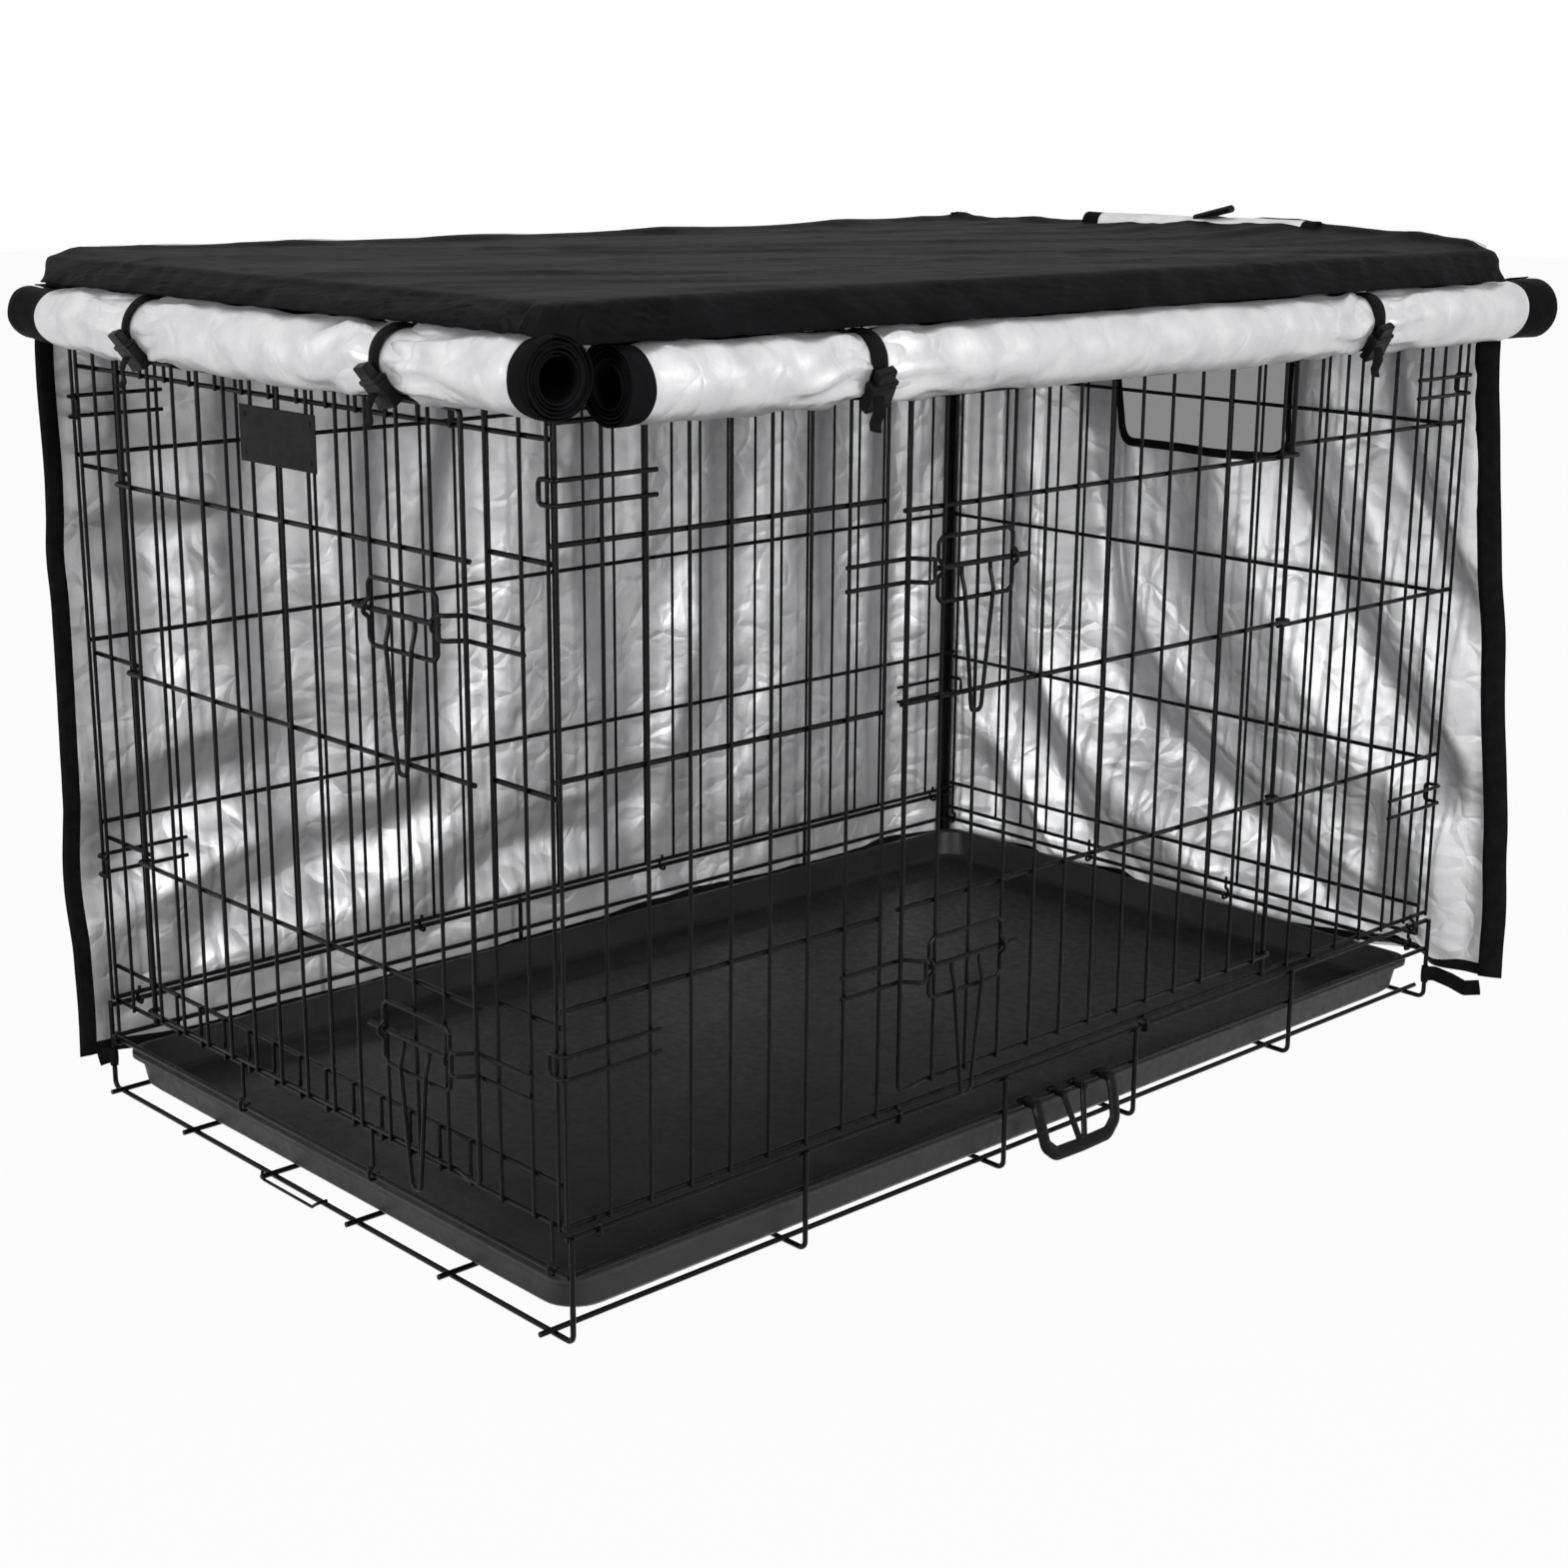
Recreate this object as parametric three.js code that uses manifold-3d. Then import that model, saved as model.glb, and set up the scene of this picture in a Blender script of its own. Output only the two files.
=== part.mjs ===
// A folding wire dog crate of the 48 inch class, with its tray and a cloth cover rolled up on two sides.
// Units are millimetres. +Z is up, the front doorway faces -Y and the side doorway faces +X.
// The origin is on the floor under the middle of the whole object; the code works about the crate's middle.
import * as THREE from "three";
import { mergeVertices } from "three/addons/utils/BufferGeometryUtils.js";
import Module from "manifold-3d";

const wasm = await Module();
wasm.setup();

// ---- Driving dimensions ----
const LENGTH = 1219; // between the uprights of the two end panels
const WIDTH = 732; // between the uprights of the two side panels
const PANEL_TOP = 815; // centre of the side panels' top rail
const LONG_SPACES = 28;
const CROSS_SPACES = 17;

const UPRIGHT = 3.5; // panel and door uprights
const RAIL = 4.5; // panel and door rails
const FRAME = 5; // base wires, hinge wires and bolt rods
const HOOK = 4; // keepers, receivers, corner hooks and bolt handles
const FIT = 0.3; // clearance between pieces that seat on each other

const LONG_PITCH = LENGTH / LONG_SPACES;
const CROSS_PITCH = WIDTH / CROSS_SPACES;

// ---- Base ----
const LEG_OUT = (FRAME + FRAME) / 2; // legs stand outside the rails
const RAIL_A_Z = 91.5;
const RAIL_B_Z = 58;
const FOOT_BEND = 8;
const HOOP_PLACES = [0, 257, 514, 705, 962, LENGTH]; // from the front hoop
const FLOOR_WIRES = 6;
const FLOOR_EDGE = 22.5; // from the legs to the first lengthwise floor wire
const FLOOR_STUB = 16.5; // how far the floor wires pass the end hoops' centre lines
const HOOP_Z = FRAME / 2;
const FLOOR_WIRE_Z = HOOP_Z + FRAME;
const SIDE_HOOK_PLACES = [30, 375, 722]; // from the front hoop
const SIDE_HOOK_LAST = 29; // from the back hoop
const END_HOOK_PLACES = [235, 448]; // from the left edge upright
const END_HOOK_LAST = 10; // from the right edge upright

// ---- Panels ----
const SIDE_BOTTOM_Z = 100;
const SIDE_RAILS_RIGHT = [648, 467, 283];
const SIDE_RAILS_LEFT = [643, 465, 283];
const SIDE_DOOR_HEAD = 76; // from the panels' top rail down to the rail over the side doorway
const SIDE_DOOR_FROM = 8; // grid places of the side doorway's two edges
const SIDE_DOOR_TO = 21;
const END_TOP_DROP = 1; // the end panels stand this much lower, to fold under the roof
const END_GAP = 0.5; // from an end panel's edge to the side panel's rails and the side door's curls
const FRONT_DOOR_HEAD = 89;
const FRONT_STUB_RAILS = [633, 452, 267];
const FRONT_LOW_RAILS = [134, 97];
const FRONT_DOOR_FROM = 2;
const FRONT_DOOR_TO = 15;
const BACK_RAILS = [645, 464, 278, 108, 75];
const ROOF_CROSS = 14;
const ROOF_LONG = 5;
const ROOF_HOOK_DROP = 13;

// ---- Corner hooks ----
const CORNER_HOOK_Z = [688, 238];
const CORNER_HOOK_GAP = 19;
const CORNER_HOOK_RUN = 95;
const CORNER_HOOK_TIP = 15;

// ---- Doors ----
const CURL_ROOM = 3; // from a hinge wire's middle to the inside of the curl round it
const DOOR_COLUMNS = 12;
const DOOR_HINGE_MARGIN = 29; // from the hinge wire to the door's first upright
const DOOR_FREE_MARGIN = 17; // from the doorway's free edge to the door's last upright
const FRONT_DOOR_LAP = 15; // how far the door's top rail passes the rail over its doorway
const SIDE_DOOR_LAP = -6;
const FRONT_DOOR_RAILS = [624, 446, 260, 108];
const SIDE_DOOR_RAILS = [639, 473, 290, 122];

// ---- Latches ----
const KEEPER_WIDTH = 94;
const KEEPER_UP = 26;
const KEEPER_DOWN = 30;
const LATCH_BACK = 79; // from the door's last upright to the keeper's middle
const BOLT_TRAVEL = 20;
const BOLT_BACK = 68;
const BOLT_FRONT = 50;
const HANDLE_DROP = 130;
const HANDLE_HALF = 18;
const RECEIVER_HALF = 10;
const RECEIVER_BACK = 22; // from the door's last upright back to the receiver's closed end
const RECEIVER_PAST = 7; // past the second upright beside the doorway
const FRONT_LATCH_Z = [571, 210];
const SIDE_LATCH_Z = [588, 232];

// ---- Tray, pan stop, carry handle and name plate ----
const TRAY_SIDE_GAP = 5.5; // from the flange to the base rails
const TRAY_END_GAP = 3.5; // from the flange to the end panels' plane
const TRAY_FLANGE = 23;
const TRAY_WALL = 2.5;
const TRAY_TOP = 47.5;
const TRAY_SLOPE = 22;
const TRAY_CORNER = 25;
const STOP_WIRE = 3;
const STOP_LEVER = 84;
const HANDLE_PLACE = 603; // middle of the carry handle, from the front hoop
const HANDLE_SPAN = 114;
const HANDLE_ARM = 8;
const HANDLE_BAR = 14;
const HANDLE_THICK = 5;
const HANDLE_OUT = 18; // from the base rail to the strap's middle
const HANDLE_LOW = 5;
const PLATE_WIDTH = 116;
const PLATE_HEIGHT = 56;
const PLATE_THICK = 1.2;
const PLATE_PLACE = 8.5;
const PLATE_DROP = 46; // from the door's top rail to the plate's middle

// ---- Cover ----
const CLOTH = 3;
const ROLL_R = 32;
const FRONT_ROLL_OUT = 35.5; // from the front panel's plane to the roll's middle
const FRONT_ROLL_DROP = 35; // from the panels' top rail down to the roll's middle
const FRONT_ROLL_PAST = [29, 39]; // past the left and right panels
const SIDE_ROLL_OUT = 36;
const SIDE_ROLL_DROP = 43;
const SIDE_ROLL_SHORT = 33.5; // short of the front panel
const SIDE_ROLL_PAST = 61.5; // past the back panel
const FRONT_STRAPS = [-141, 231];
const SIDE_STRAPS = [-332, 351];
const STRAP_WIDTH = 16;
const STRAP_THICK = 1.2;
const BUCKLE = [34, 22, 5];
const LEFT_SHEET_OUT = 12; // from the left panel's plane to the cloth's middle
const LEFT_SHEET_LOW = 40;
const LEFT_SHEET_LEAN = [18, 32]; // how far the front edge stands out under the roll and at the bottom
const BACK_SHEET_OUT = 12.5;
const BACK_SHEET_LOW = 32;
const BACK_SHEET_FLARE = 57;
const UNDER_ROLL = 6; // from a roll down to where a hanging sheet widens
const WINDOW = { left: -121, right: 118, drop: 45, height: 190 };
const WINDOW_ROLL_R = 14;
const WINDOW_ROLL_SPAN = [-160, 168];
const TOGGLE = [50, 12, 6];
const TOGGLE_PLACE = 25;
const CORNER_STRAP_HEIGHT = 20;

// ---- Materials ----
const wireBlack = new THREE.MeshStandardMaterial({ color: 0x161616, roughness: 0.45, metalness: 0.6 });
const trayPlastic = new THREE.MeshStandardMaterial({ color: 0x262626, roughness: 0.7 });
const handlePlastic = new THREE.MeshStandardMaterial({ color: 0x1a1a1a, roughness: 0.5 });
const coverCloth = new THREE.MeshStandardMaterial({ color: 0x232324, roughness: 0.8 });
const silverLining = new THREE.MeshStandardMaterial({ color: 0xdedee0, roughness: 0.45, metalness: 0.3 });
const meshCloth = new THREE.MeshStandardMaterial({ color: 0x3a3a3a, roughness: 0.9 });
const strapWeb = new THREE.MeshStandardMaterial({ color: 0x1c1c1c, roughness: 0.8 });

const crate = new THREE.Group();

// ---- Building blocks ----

// A closed geometry as a solid, its points rounded so that faces meant to meet do meet.
function solidOf(geometry) {
  const grain = 64;
  const loose = geometry.index ? geometry.toNonIndexed() : geometry.clone();
  for (const name of Object.keys(loose.attributes)) {
    if (name !== "position") loose.deleteAttribute(name);
  }
  const places = loose.attributes.position.array;
  places.forEach((value, i) => {
    places[i] = Math.round(value * grain) / grain;
  });
  const merged = mergeVertices(loose, 1e-4);
  return new wasm.Manifold(
    new wasm.Mesh({
      numProp: 3,
      vertProperties: merged.attributes.position.array,
      triVerts: new Uint32Array(merged.index.array),
    }),
  );
}

function geometryOf(solid) {
  const mesh = solid.getMesh();
  const geometry = new THREE.BufferGeometry();
  const places = new Float32Array(mesh.numVert * 3);
  for (let i = 0; i < mesh.numVert; i += 1) {
    for (let k = 0; k < 3; k += 1) places[i * 3 + k] = mesh.vertProperties[i * mesh.numProp + k];
  }
  geometry.setAttribute("position", new THREE.BufferAttribute(places, 3));
  geometry.setIndex(new THREE.BufferAttribute(new Uint32Array(mesh.triVerts), 1));
  geometry.computeVertexNormals();
  return geometry;
}

// Wires welded into one solid, with a seat cut where each of the seats lies.
function weld(pieces, seats = []) {
  const whole = wasm.Manifold.union(pieces.map(solidOf));
  return geometryOf(seats.reduce((solid, seat) => solid.subtract(solidOf(seat)), whole));
}

function add(name, geometry, material, position) {
  const mesh = new THREE.Mesh(geometry, material);
  mesh.name = name;
  if (position) mesh.position.copy(position);
  crate.add(mesh);
}

// A straight square bar along one axis, between two points of its centre line.
function bar(a, b, size) {
  const middle = a.clone().add(b).multiplyScalar(0.5);
  const run = b.clone().sub(a);
  const side = (value) => (Math.abs(value) > 1e-6 ? Math.abs(value) : size);
  const box = new THREE.BoxGeometry(side(run.x), side(run.y), side(run.z));
  return box.translate(middle.x, middle.y, middle.z);
}

// A wire's centre line through its corners, each corner bent to a radius, with mitred sections.
class BentWire extends THREE.Curve {
  constructor(corners, bend, arcSteps) {
    super();
    this.places = [corners[0]];
    for (let i = 1; i < corners.length - 1; i += 1) {
      this.places.push(...BentWire.corner(corners[i - 1], corners[i], corners[i + 1], bend, arcSteps));
    }
    this.places.push(corners[corners.length - 1]);
  }

  static corner(before, at, after, bend, arcSteps) {
    const into = at.clone().sub(before).normalize();
    const out = after.clone().sub(at).normalize();
    const turn = into.angleTo(out);
    if (bend <= 0 || turn < 0.05) return [at];
    const setback = bend * Math.tan(turn / 2);
    const start = at.clone().addScaledVector(into, -setback);
    const inward = out.clone().addScaledVector(into, -out.dot(into)).normalize();
    const arc = [];
    for (let k = 0; k <= arcSteps; k += 1) {
      const angle = (turn * k) / arcSteps;
      arc.push(
        start
          .clone()
          .addScaledVector(into, bend * Math.sin(angle))
          .addScaledVector(inward, bend * (1 - Math.cos(angle))),
      );
    }
    return arc;
  }

  get steps() {
    return this.places.length - 1;
  }

  getSpacedPoints() {
    return this.places.map((place) => place.clone());
  }

  computeFrenetFrames() {
    const runs = this.places.slice(1).map((place, i) => place.clone().sub(this.places[i]).normalize());
    const first = runs[0];
    const upright = Math.abs(first.z) > 0.9 ? new THREE.Vector3(1, 0, 0) : new THREE.Vector3(0, 0, 1);
    let normal = upright.addScaledVector(first, -upright.dot(first)).normalize();
    const frames = { tangents: [], normals: [], binormals: [] };
    this.places.forEach((place, i) => {
      const into = runs[Math.max(i - 1, 0)];
      const out = runs[Math.min(i, runs.length - 1)];
      const tangent = into.clone().add(out).normalize();
      const mitre = (v) => v.clone().addScaledVector(into, -v.dot(tangent) / into.dot(tangent));
      frames.tangents.push(tangent);
      frames.normals.push(mitre(normal));
      frames.binormals.push(mitre(into.clone().cross(normal)));
      normal = normal.clone().applyQuaternion(new THREE.Quaternion().setFromUnitVectors(into, out));
    });
    return frames;
  }
}

// A wire bent through its corners: 4 sides lie flat on their neighbours, 6 or 8 look round.
function wire(corners, size, { bend = 0, sides = 4, arcSteps = 2 } = {}) {
  const radius = size / 2 / Math.cos(Math.PI / sides);
  const ring = [];
  for (let i = 0; i < sides; i += 1) {
    const angle = ((i + 0.5) * 2 * Math.PI) / sides;
    ring.push(new THREE.Vector2(radius * Math.cos(angle), radius * Math.sin(angle)));
  }
  const path = new BentWire(corners, bend, arcSteps);
  return new THREE.ExtrudeGeometry(new THREE.Shape(ring), { steps: path.steps, extrudePath: path });
}

// Each panel's own plane: u runs along it, w out of the crate from the uprights' middle, z up.
const frontPlane = (u, w, z) => new THREE.Vector3(u, -LENGTH / 2 - w, z);
const backPlane = (u, w, z) => new THREE.Vector3(u, LENGTH / 2 + w, z);
const rightPlane = (u, w, z) => new THREE.Vector3(WIDTH / 2 + w, -u, z);
const leftPlane = (u, w, z) => new THREE.Vector3(-WIDTH / 2 - w, -u, z);

const RAIL_IN = (UPRIGHT + RAIL) / 2; // rails are welded to the inside of the uprights

const upright = (plane, u, low, high, w = 0, size = UPRIGHT) => bar(plane(u, w, low), plane(u, w, high), size);
const rail = (plane, z, from, to, w = -RAIL_IN, size = RAIL) => bar(plane(from, w, z), plane(to, w, z), size);

// A square hook that closes round a base wire from outside and ends inside it.
function baseHook(plane, u, top, wireZ, room) {
  const off = room + UPRIGHT / 2;
  const jog = wireZ + room + UPRIGHT;
  const points = [
    [0, top],
    [0, jog],
    [off, jog],
    [off, wireZ - off],
    [-off, wireZ - off],
    [-off, wireZ + UPRIGHT / 2],
  ];
  return wire(points.map(([w, z]) => plane(u, w, z)), UPRIGHT);
}

// ---- Base ----
const legX = WIDTH / 2 + LEG_OUT;
const footX = legX - FOOT_BEND;
const halfLong = LENGTH / 2;

function buildFloorGrid() {
  const pieces = HOOP_PLACES.map((place) => {
    const y = place - halfLong;
    const end = footX - FIT;
    return bar(new THREE.Vector3(-end, y, HOOP_Z), new THREE.Vector3(end, y, HOOP_Z), FRAME);
  });
  for (const x of floorWirePlaces()) {
    const end = halfLong + FLOOR_STUB;
    pieces.push(bar(new THREE.Vector3(x, -end, FLOOR_WIRE_Z), new THREE.Vector3(x, end, FLOOR_WIRE_Z), FRAME));
  }
  add("base_floor_grid", weld(pieces), wireBlack);
}

function floorWirePlaces() {
  const edge = legX - FLOOR_EDGE;
  const places = [];
  for (let i = 0; i < FLOOR_WIRES; i += 1) places.push(-edge + (2 * edge * i) / (FLOOR_WIRES - 1));
  return places;
}

function buildSideFrame(name, side) {
  const pieces = HOOP_PLACES.map((place) => {
    const y = place - halfLong;
    const corners = [
      new THREE.Vector3(side * legX, y, RAIL_A_Z + FRAME / 2),
      new THREE.Vector3(side * legX, y, HOOP_Z),
      new THREE.Vector3(side * footX, y, HOOP_Z),
    ];
    return wire(corners, FRAME, { bend: FOOT_BEND - 0.5 });
  });
  const end = halfLong + FRAME / 2;
  const x = (side * WIDTH) / 2;
  for (const z of [RAIL_A_Z, RAIL_B_Z]) {
    pieces.push(bar(new THREE.Vector3(x, -end, z), new THREE.Vector3(x, end, z), FRAME));
  }
  add(name, weld(pieces), wireBlack);
}

function buildCrossbar(name, plane) {
  const end = WIDTH / 2 - FRAME / 2 - FIT;
  add(name, weld([wire([plane(-end, 0, RAIL_B_Z), plane(end, 0, RAIL_B_Z)], FRAME, { sides: 8 })]), wireBlack);
}

// ---- Side panels and roof ----
const longPlace = (i) => halfLong - i * LONG_PITCH; // u of the i-th upright from the front
const sideEnd = halfLong + UPRIGHT / 2;

// Hairpins on the side panel that hold one end panel's edge from outside; end is 1 in front, -1 behind.
function cornerHooks(plane, end) {
  const w = (UPRIGHT + HOOK) / 2;
  return CORNER_HOOK_Z.map((middle) => {
    const past = halfLong + UPRIGHT / 2 + FIT + HOOK / 2;
    const points = [
      [halfLong - CORNER_HOOK_RUN, w, 1],
      [past, w, 1],
      [past, -CORNER_HOOK_TIP, 1],
      [past, -CORNER_HOOK_TIP, -1],
      [past, w, -1],
      [halfLong - CORNER_HOOK_RUN, w, -1],
    ];
    const corners = points.map(([u, out, up]) => plane(end * u, out, middle + (up * CORNER_HOOK_GAP) / 2));
    return wire(corners, HOOK);
  });
}

const sideTop = PANEL_TOP + RAIL / 2;
const sideBottom = SIDE_BOTTOM_Z - RAIL / 2;
const sideHookPlaces = [...SIDE_HOOK_PLACES, LENGTH - SIDE_HOOK_LAST];
const sideHook = (plane, place) =>
  baseHook(plane, halfLong - place, SIDE_BOTTOM_Z + RAIL, RAIL_A_Z, FRAME / 2 + FIT);

function buildLeftPanel() {
  const pieces = [...cornerHooks(leftPlane, 1), ...cornerHooks(leftPlane, -1)];
  for (let i = 0; i <= LONG_SPACES; i += 1) pieces.push(upright(leftPlane, longPlace(i), sideBottom, sideTop));
  for (const z of [PANEL_TOP, ...SIDE_RAILS_LEFT, SIDE_BOTTOM_Z]) {
    pieces.push(rail(leftPlane, z, -sideEnd, sideEnd));
  }
  pieces.push(...sideHookPlaces.map((place) => sideHook(leftPlane, place)));
  add("side_panel_left", weld(pieces), wireBlack);
}

// A hinge wire, and the seat that the rails crossing it get.
const hingeWire = (plane, u, low, high, room = 0) =>
  wire([plane(u, 0, low), plane(u, 0, high)], FRAME + 2 * room, { sides: 8 });

// A panel with a doorway is four grilles, joined where the header's and sill's rails cross the two sides.
function buildRightPanel() {
  const head = PANEL_TOP - SIDE_DOOR_HEAD;
  const edge = longPlace(SIDE_DOOR_FROM);
  const hinge = longPlace(SIDE_DOOR_TO);
  const latchSide = cornerHooks(rightPlane, 1);
  const hingeSide = cornerHooks(rightPlane, -1);
  const header = [];
  for (let i = 0; i <= LONG_SPACES; i += 1) {
    const u = longPlace(i);
    if (i <= SIDE_DOOR_FROM) latchSide.push(upright(rightPlane, u, sideBottom, sideTop));
    else if (i < SIDE_DOOR_TO) header.push(upright(rightPlane, u, head - RAIL / 2, sideTop));
    else if (i > SIDE_DOOR_TO) hingeSide.push(upright(rightPlane, u, sideBottom, sideTop));
  }
  hingeSide.push(hingeWire(rightPlane, hinge, sideBottom, sideTop));
  for (const z of SIDE_RAILS_RIGHT) {
    latchSide.push(rail(rightPlane, z, edge - UPRIGHT / 2, sideEnd));
    hingeSide.push(rail(rightPlane, z, -sideEnd, hinge + FRAME / 2));
  }
  for (const z of [PANEL_TOP, head]) header.push(rail(rightPlane, z, -sideEnd, sideEnd));
  const sill = sideHookPlaces.map((place) => sideHook(rightPlane, place));
  sill.push(rail(rightPlane, SIDE_BOTTOM_Z, -sideEnd, sideEnd));
  const seat = hingeWire(rightPlane, hinge, sideBottom - 1, sideTop + 1, FIT);
  add("side_panel_right_latch_side", weld(latchSide), wireBlack);
  add("side_panel_right_hinge_side", weld(hingeSide), wireBlack);
  add("side_panel_right_header", weld(header, [seat]), wireBlack);
  add("side_panel_right_sill", weld(sill, [seat]), wireBlack);
}

function buildRoof() {
  const crossZ = PANEL_TOP + RAIL / 2 + FIT + UPRIGHT / 2;
  const longZ = crossZ + (UPRIGHT + RAIL) / 2;
  const hookX = WIDTH / 2 + UPRIGHT + FIT;
  const pieces = [];
  for (let i = 0; i <= ROOF_CROSS; i += 1) {
    const y = -halfLong + (LENGTH * i) / ROOF_CROSS;
    const low = crossZ - ROOF_HOOK_DROP;
    const hooked = i % 4 === 1;
    const corners = [new THREE.Vector3(-hookX, y, crossZ), new THREE.Vector3(hookX, y, crossZ)];
    if (hooked) corners.unshift(new THREE.Vector3(-hookX, y, low));
    if (hooked) corners.push(new THREE.Vector3(hookX, y, low));
    pieces.push(wire(corners, UPRIGHT));
  }
  for (let i = 0; i < ROOF_LONG; i += 1) {
    const x = -WIDTH / 2 + (WIDTH * i) / (ROOF_LONG - 1);
    const end = halfLong + UPRIGHT / 2;
    pieces.push(bar(new THREE.Vector3(x, -end, longZ), new THREE.Vector3(x, end, longZ), RAIL));
  }
  add("roof_panel", weld(pieces), wireBlack);
  return longZ + RAIL / 2;
}

// ---- End panels ----
const doorRailOut = CURL_ROOM + RAIL / 2; // the doors' rails pass outside their hinge wires
const curlIn = doorRailOut + RAIL / 2; // and their curls reach this far inside the panel's plane
const endHalf = WIDTH / 2 - Math.max(curlIn, RAIL_IN + RAIL / 2) - END_GAP; // over the edge uprights
const edgePlace = endHalf - UPRIGHT / 2;
const endTop = PANEL_TOP - END_TOP_DROP;
const crossPlace = (i) => {
  const place = -WIDTH / 2 + i * CROSS_PITCH;
  return Math.max(-edgePlace, Math.min(edgePlace, place));
};

const endHook = (plane, u, top) => baseHook(plane, u, top, RAIL_B_Z, CURL_ROOM);
const endHookPlaces = [...END_HOOK_PLACES.map((place) => place - edgePlace), edgePlace - END_HOOK_LAST];

function buildFrontPanel() {
  const head = PANEL_TOP - FRONT_DOOR_HEAD;
  const [sillTop, lowest] = FRONT_LOW_RAILS;
  const edge = crossPlace(FRONT_DOOR_TO);
  const hinge = crossPlace(FRONT_DOOR_FROM);
  const top = endTop + RAIL / 2;
  const bottom = lowest - RAIL / 2;
  const hingeSide = [endHook(frontPlane, -edgePlace, lowest + RAIL), hingeWire(frontPlane, hinge, bottom, top)];
  const latchSide = [];
  const header = [];
  const sill = endHookPlaces.map((u) => endHook(frontPlane, u, lowest + RAIL));
  for (let i = 0; i <= CROSS_SPACES; i += 1) {
    const u = crossPlace(i);
    if (i < FRONT_DOOR_FROM) hingeSide.push(upright(frontPlane, u, bottom, top));
    else if (i >= FRONT_DOOR_TO) latchSide.push(upright(frontPlane, u, bottom, top));
    else if (i > FRONT_DOOR_FROM) {
      header.push(upright(frontPlane, u, head - RAIL / 2, top));
      sill.push(upright(frontPlane, u, bottom, sillTop + RAIL / 2));
    }
  }
  for (const z of FRONT_STUB_RAILS) {
    hingeSide.push(rail(frontPlane, z, -endHalf, hinge + FRAME / 2));
    latchSide.push(rail(frontPlane, z, edge - UPRIGHT / 2, endHalf));
  }
  for (const z of [endTop, head]) header.push(rail(frontPlane, z, -endHalf, endHalf));
  for (const z of [sillTop, lowest]) sill.push(rail(frontPlane, z, -endHalf, endHalf));
  const seat = hingeWire(frontPlane, hinge, bottom - 1, top + 1, FIT);
  add("front_panel_hinge_side", weld(hingeSide), wireBlack);
  add("front_panel_latch_side", weld(latchSide), wireBlack);
  add("front_panel_header", weld(header, [seat]), wireBlack);
  add("front_panel_sill", weld(sill, [seat]), wireBlack);
}

function buildBackPanel() {
  const lowest = BACK_RAILS[BACK_RAILS.length - 1];
  const pieces = [-edgePlace, ...endHookPlaces].map((u) => endHook(backPlane, u, lowest + RAIL));
  for (let i = 0; i <= CROSS_SPACES; i += 1) {
    pieces.push(upright(backPlane, crossPlace(i), lowest - RAIL / 2, endTop + RAIL / 2));
  }
  for (const z of [endTop, ...BACK_RAILS]) pieces.push(rail(backPlane, z, -endHalf, endHalf));
  add("back_panel", weld(pieces), wireBlack);
}

// ---- Doors ----
const doorUprightOut = doorRailOut + RAIL_IN;
const doorFace = doorUprightOut + UPRIGHT / 2;

// The rails run along the door's inside and curl round the hinge wire; the outer frame is one bent wire.
function door(plane, hinge, free, rails) {
  const first = hinge + DOOR_HINGE_MARGIN;
  const low = rails[rails.length - 1];
  const pieces = [];
  for (let i = 0; i <= DOOR_COLUMNS; i += 1) {
    const u = first + ((free - first) * i) / DOOR_COLUMNS;
    pieces.push(upright(plane, u, low - RAIL / 2, rails[0] + RAIL / 2, doorUprightOut));
  }
  const off = doorRailOut;
  for (const z of rails) {
    const corners = [
      plane(free + UPRIGHT / 2, off, z),
      plane(hinge - off, off, z),
      plane(hinge - off, -off, z),
      plane(hinge + RAIL / 2, -off, z),
    ];
    pieces.push(wire(corners, RAIL));
  }
  return weld(pieces);
}

const frontDoorRails = [PANEL_TOP - FRONT_DOOR_HEAD + FRONT_DOOR_LAP, ...FRONT_DOOR_RAILS];
const sideDoorRails = [PANEL_TOP - SIDE_DOOR_HEAD + SIDE_DOOR_LAP, ...SIDE_DOOR_RAILS];

// ---- Slide-bolt latches ----
const keeperW = doorFace + FIT + HOOK / 2;
const rodW = doorFace + FIT + FRAME / 2;
const notchW = rodW + FRAME / 2 + HOOK / 2 + 2 * FIT;

// A bent wire rectangle, its ends butted in the top bar, with a notch each side round the rod.
function keeper(at) {
  const half = KEEPER_WIDTH / 2;
  const side = (u) => [
    [u, keeperW, -KEEPER_DOWN],
    [u, keeperW, -FRAME * 1.6],
    [u, notchW, -FRAME * 0.7],
    [u, notchW, FRAME * 0.7],
    [u, keeperW, FRAME * 1.6],
    [u, keeperW, KEEPER_UP],
  ];
  const points = [
    [-FIT / 2, keeperW, KEEPER_UP],
    ...side(-half).reverse(),
    ...side(half),
    [FIT / 2, keeperW, KEEPER_UP],
  ];
  return wire(points.map((p) => at(...p)), HOOK, { sides: 6, bend: 3.5 });
}

// A rod with a long V handle hanging from it, stepped out over the keeper's bottom bar.
function bolt(at) {
  const handleW = keeperW + HOOK + FIT + 0.4;
  const rod = wire([at(-BOLT_BACK, rodW, 0), at(BOLT_FRONT, rodW, 0)], FRAME, { sides: 8 });
  const leg = (side) => [
    [side * HANDLE_HALF, rodW, 0],
    [side * HANDLE_HALF, rodW, -HOOK * 2],
    [side * HANDLE_HALF, handleW, -KEEPER_DOWN * 0.8],
    [side * HANDLE_HALF * 0.33, handleW, -HANDLE_DROP],
  ];
  const points = [...leg(-1), ...leg(1).reverse()];
  return weld([rod, wire(points.map((p) => at(...p)), HOOK, { sides: 6, bend: 4 })]);
}

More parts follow.
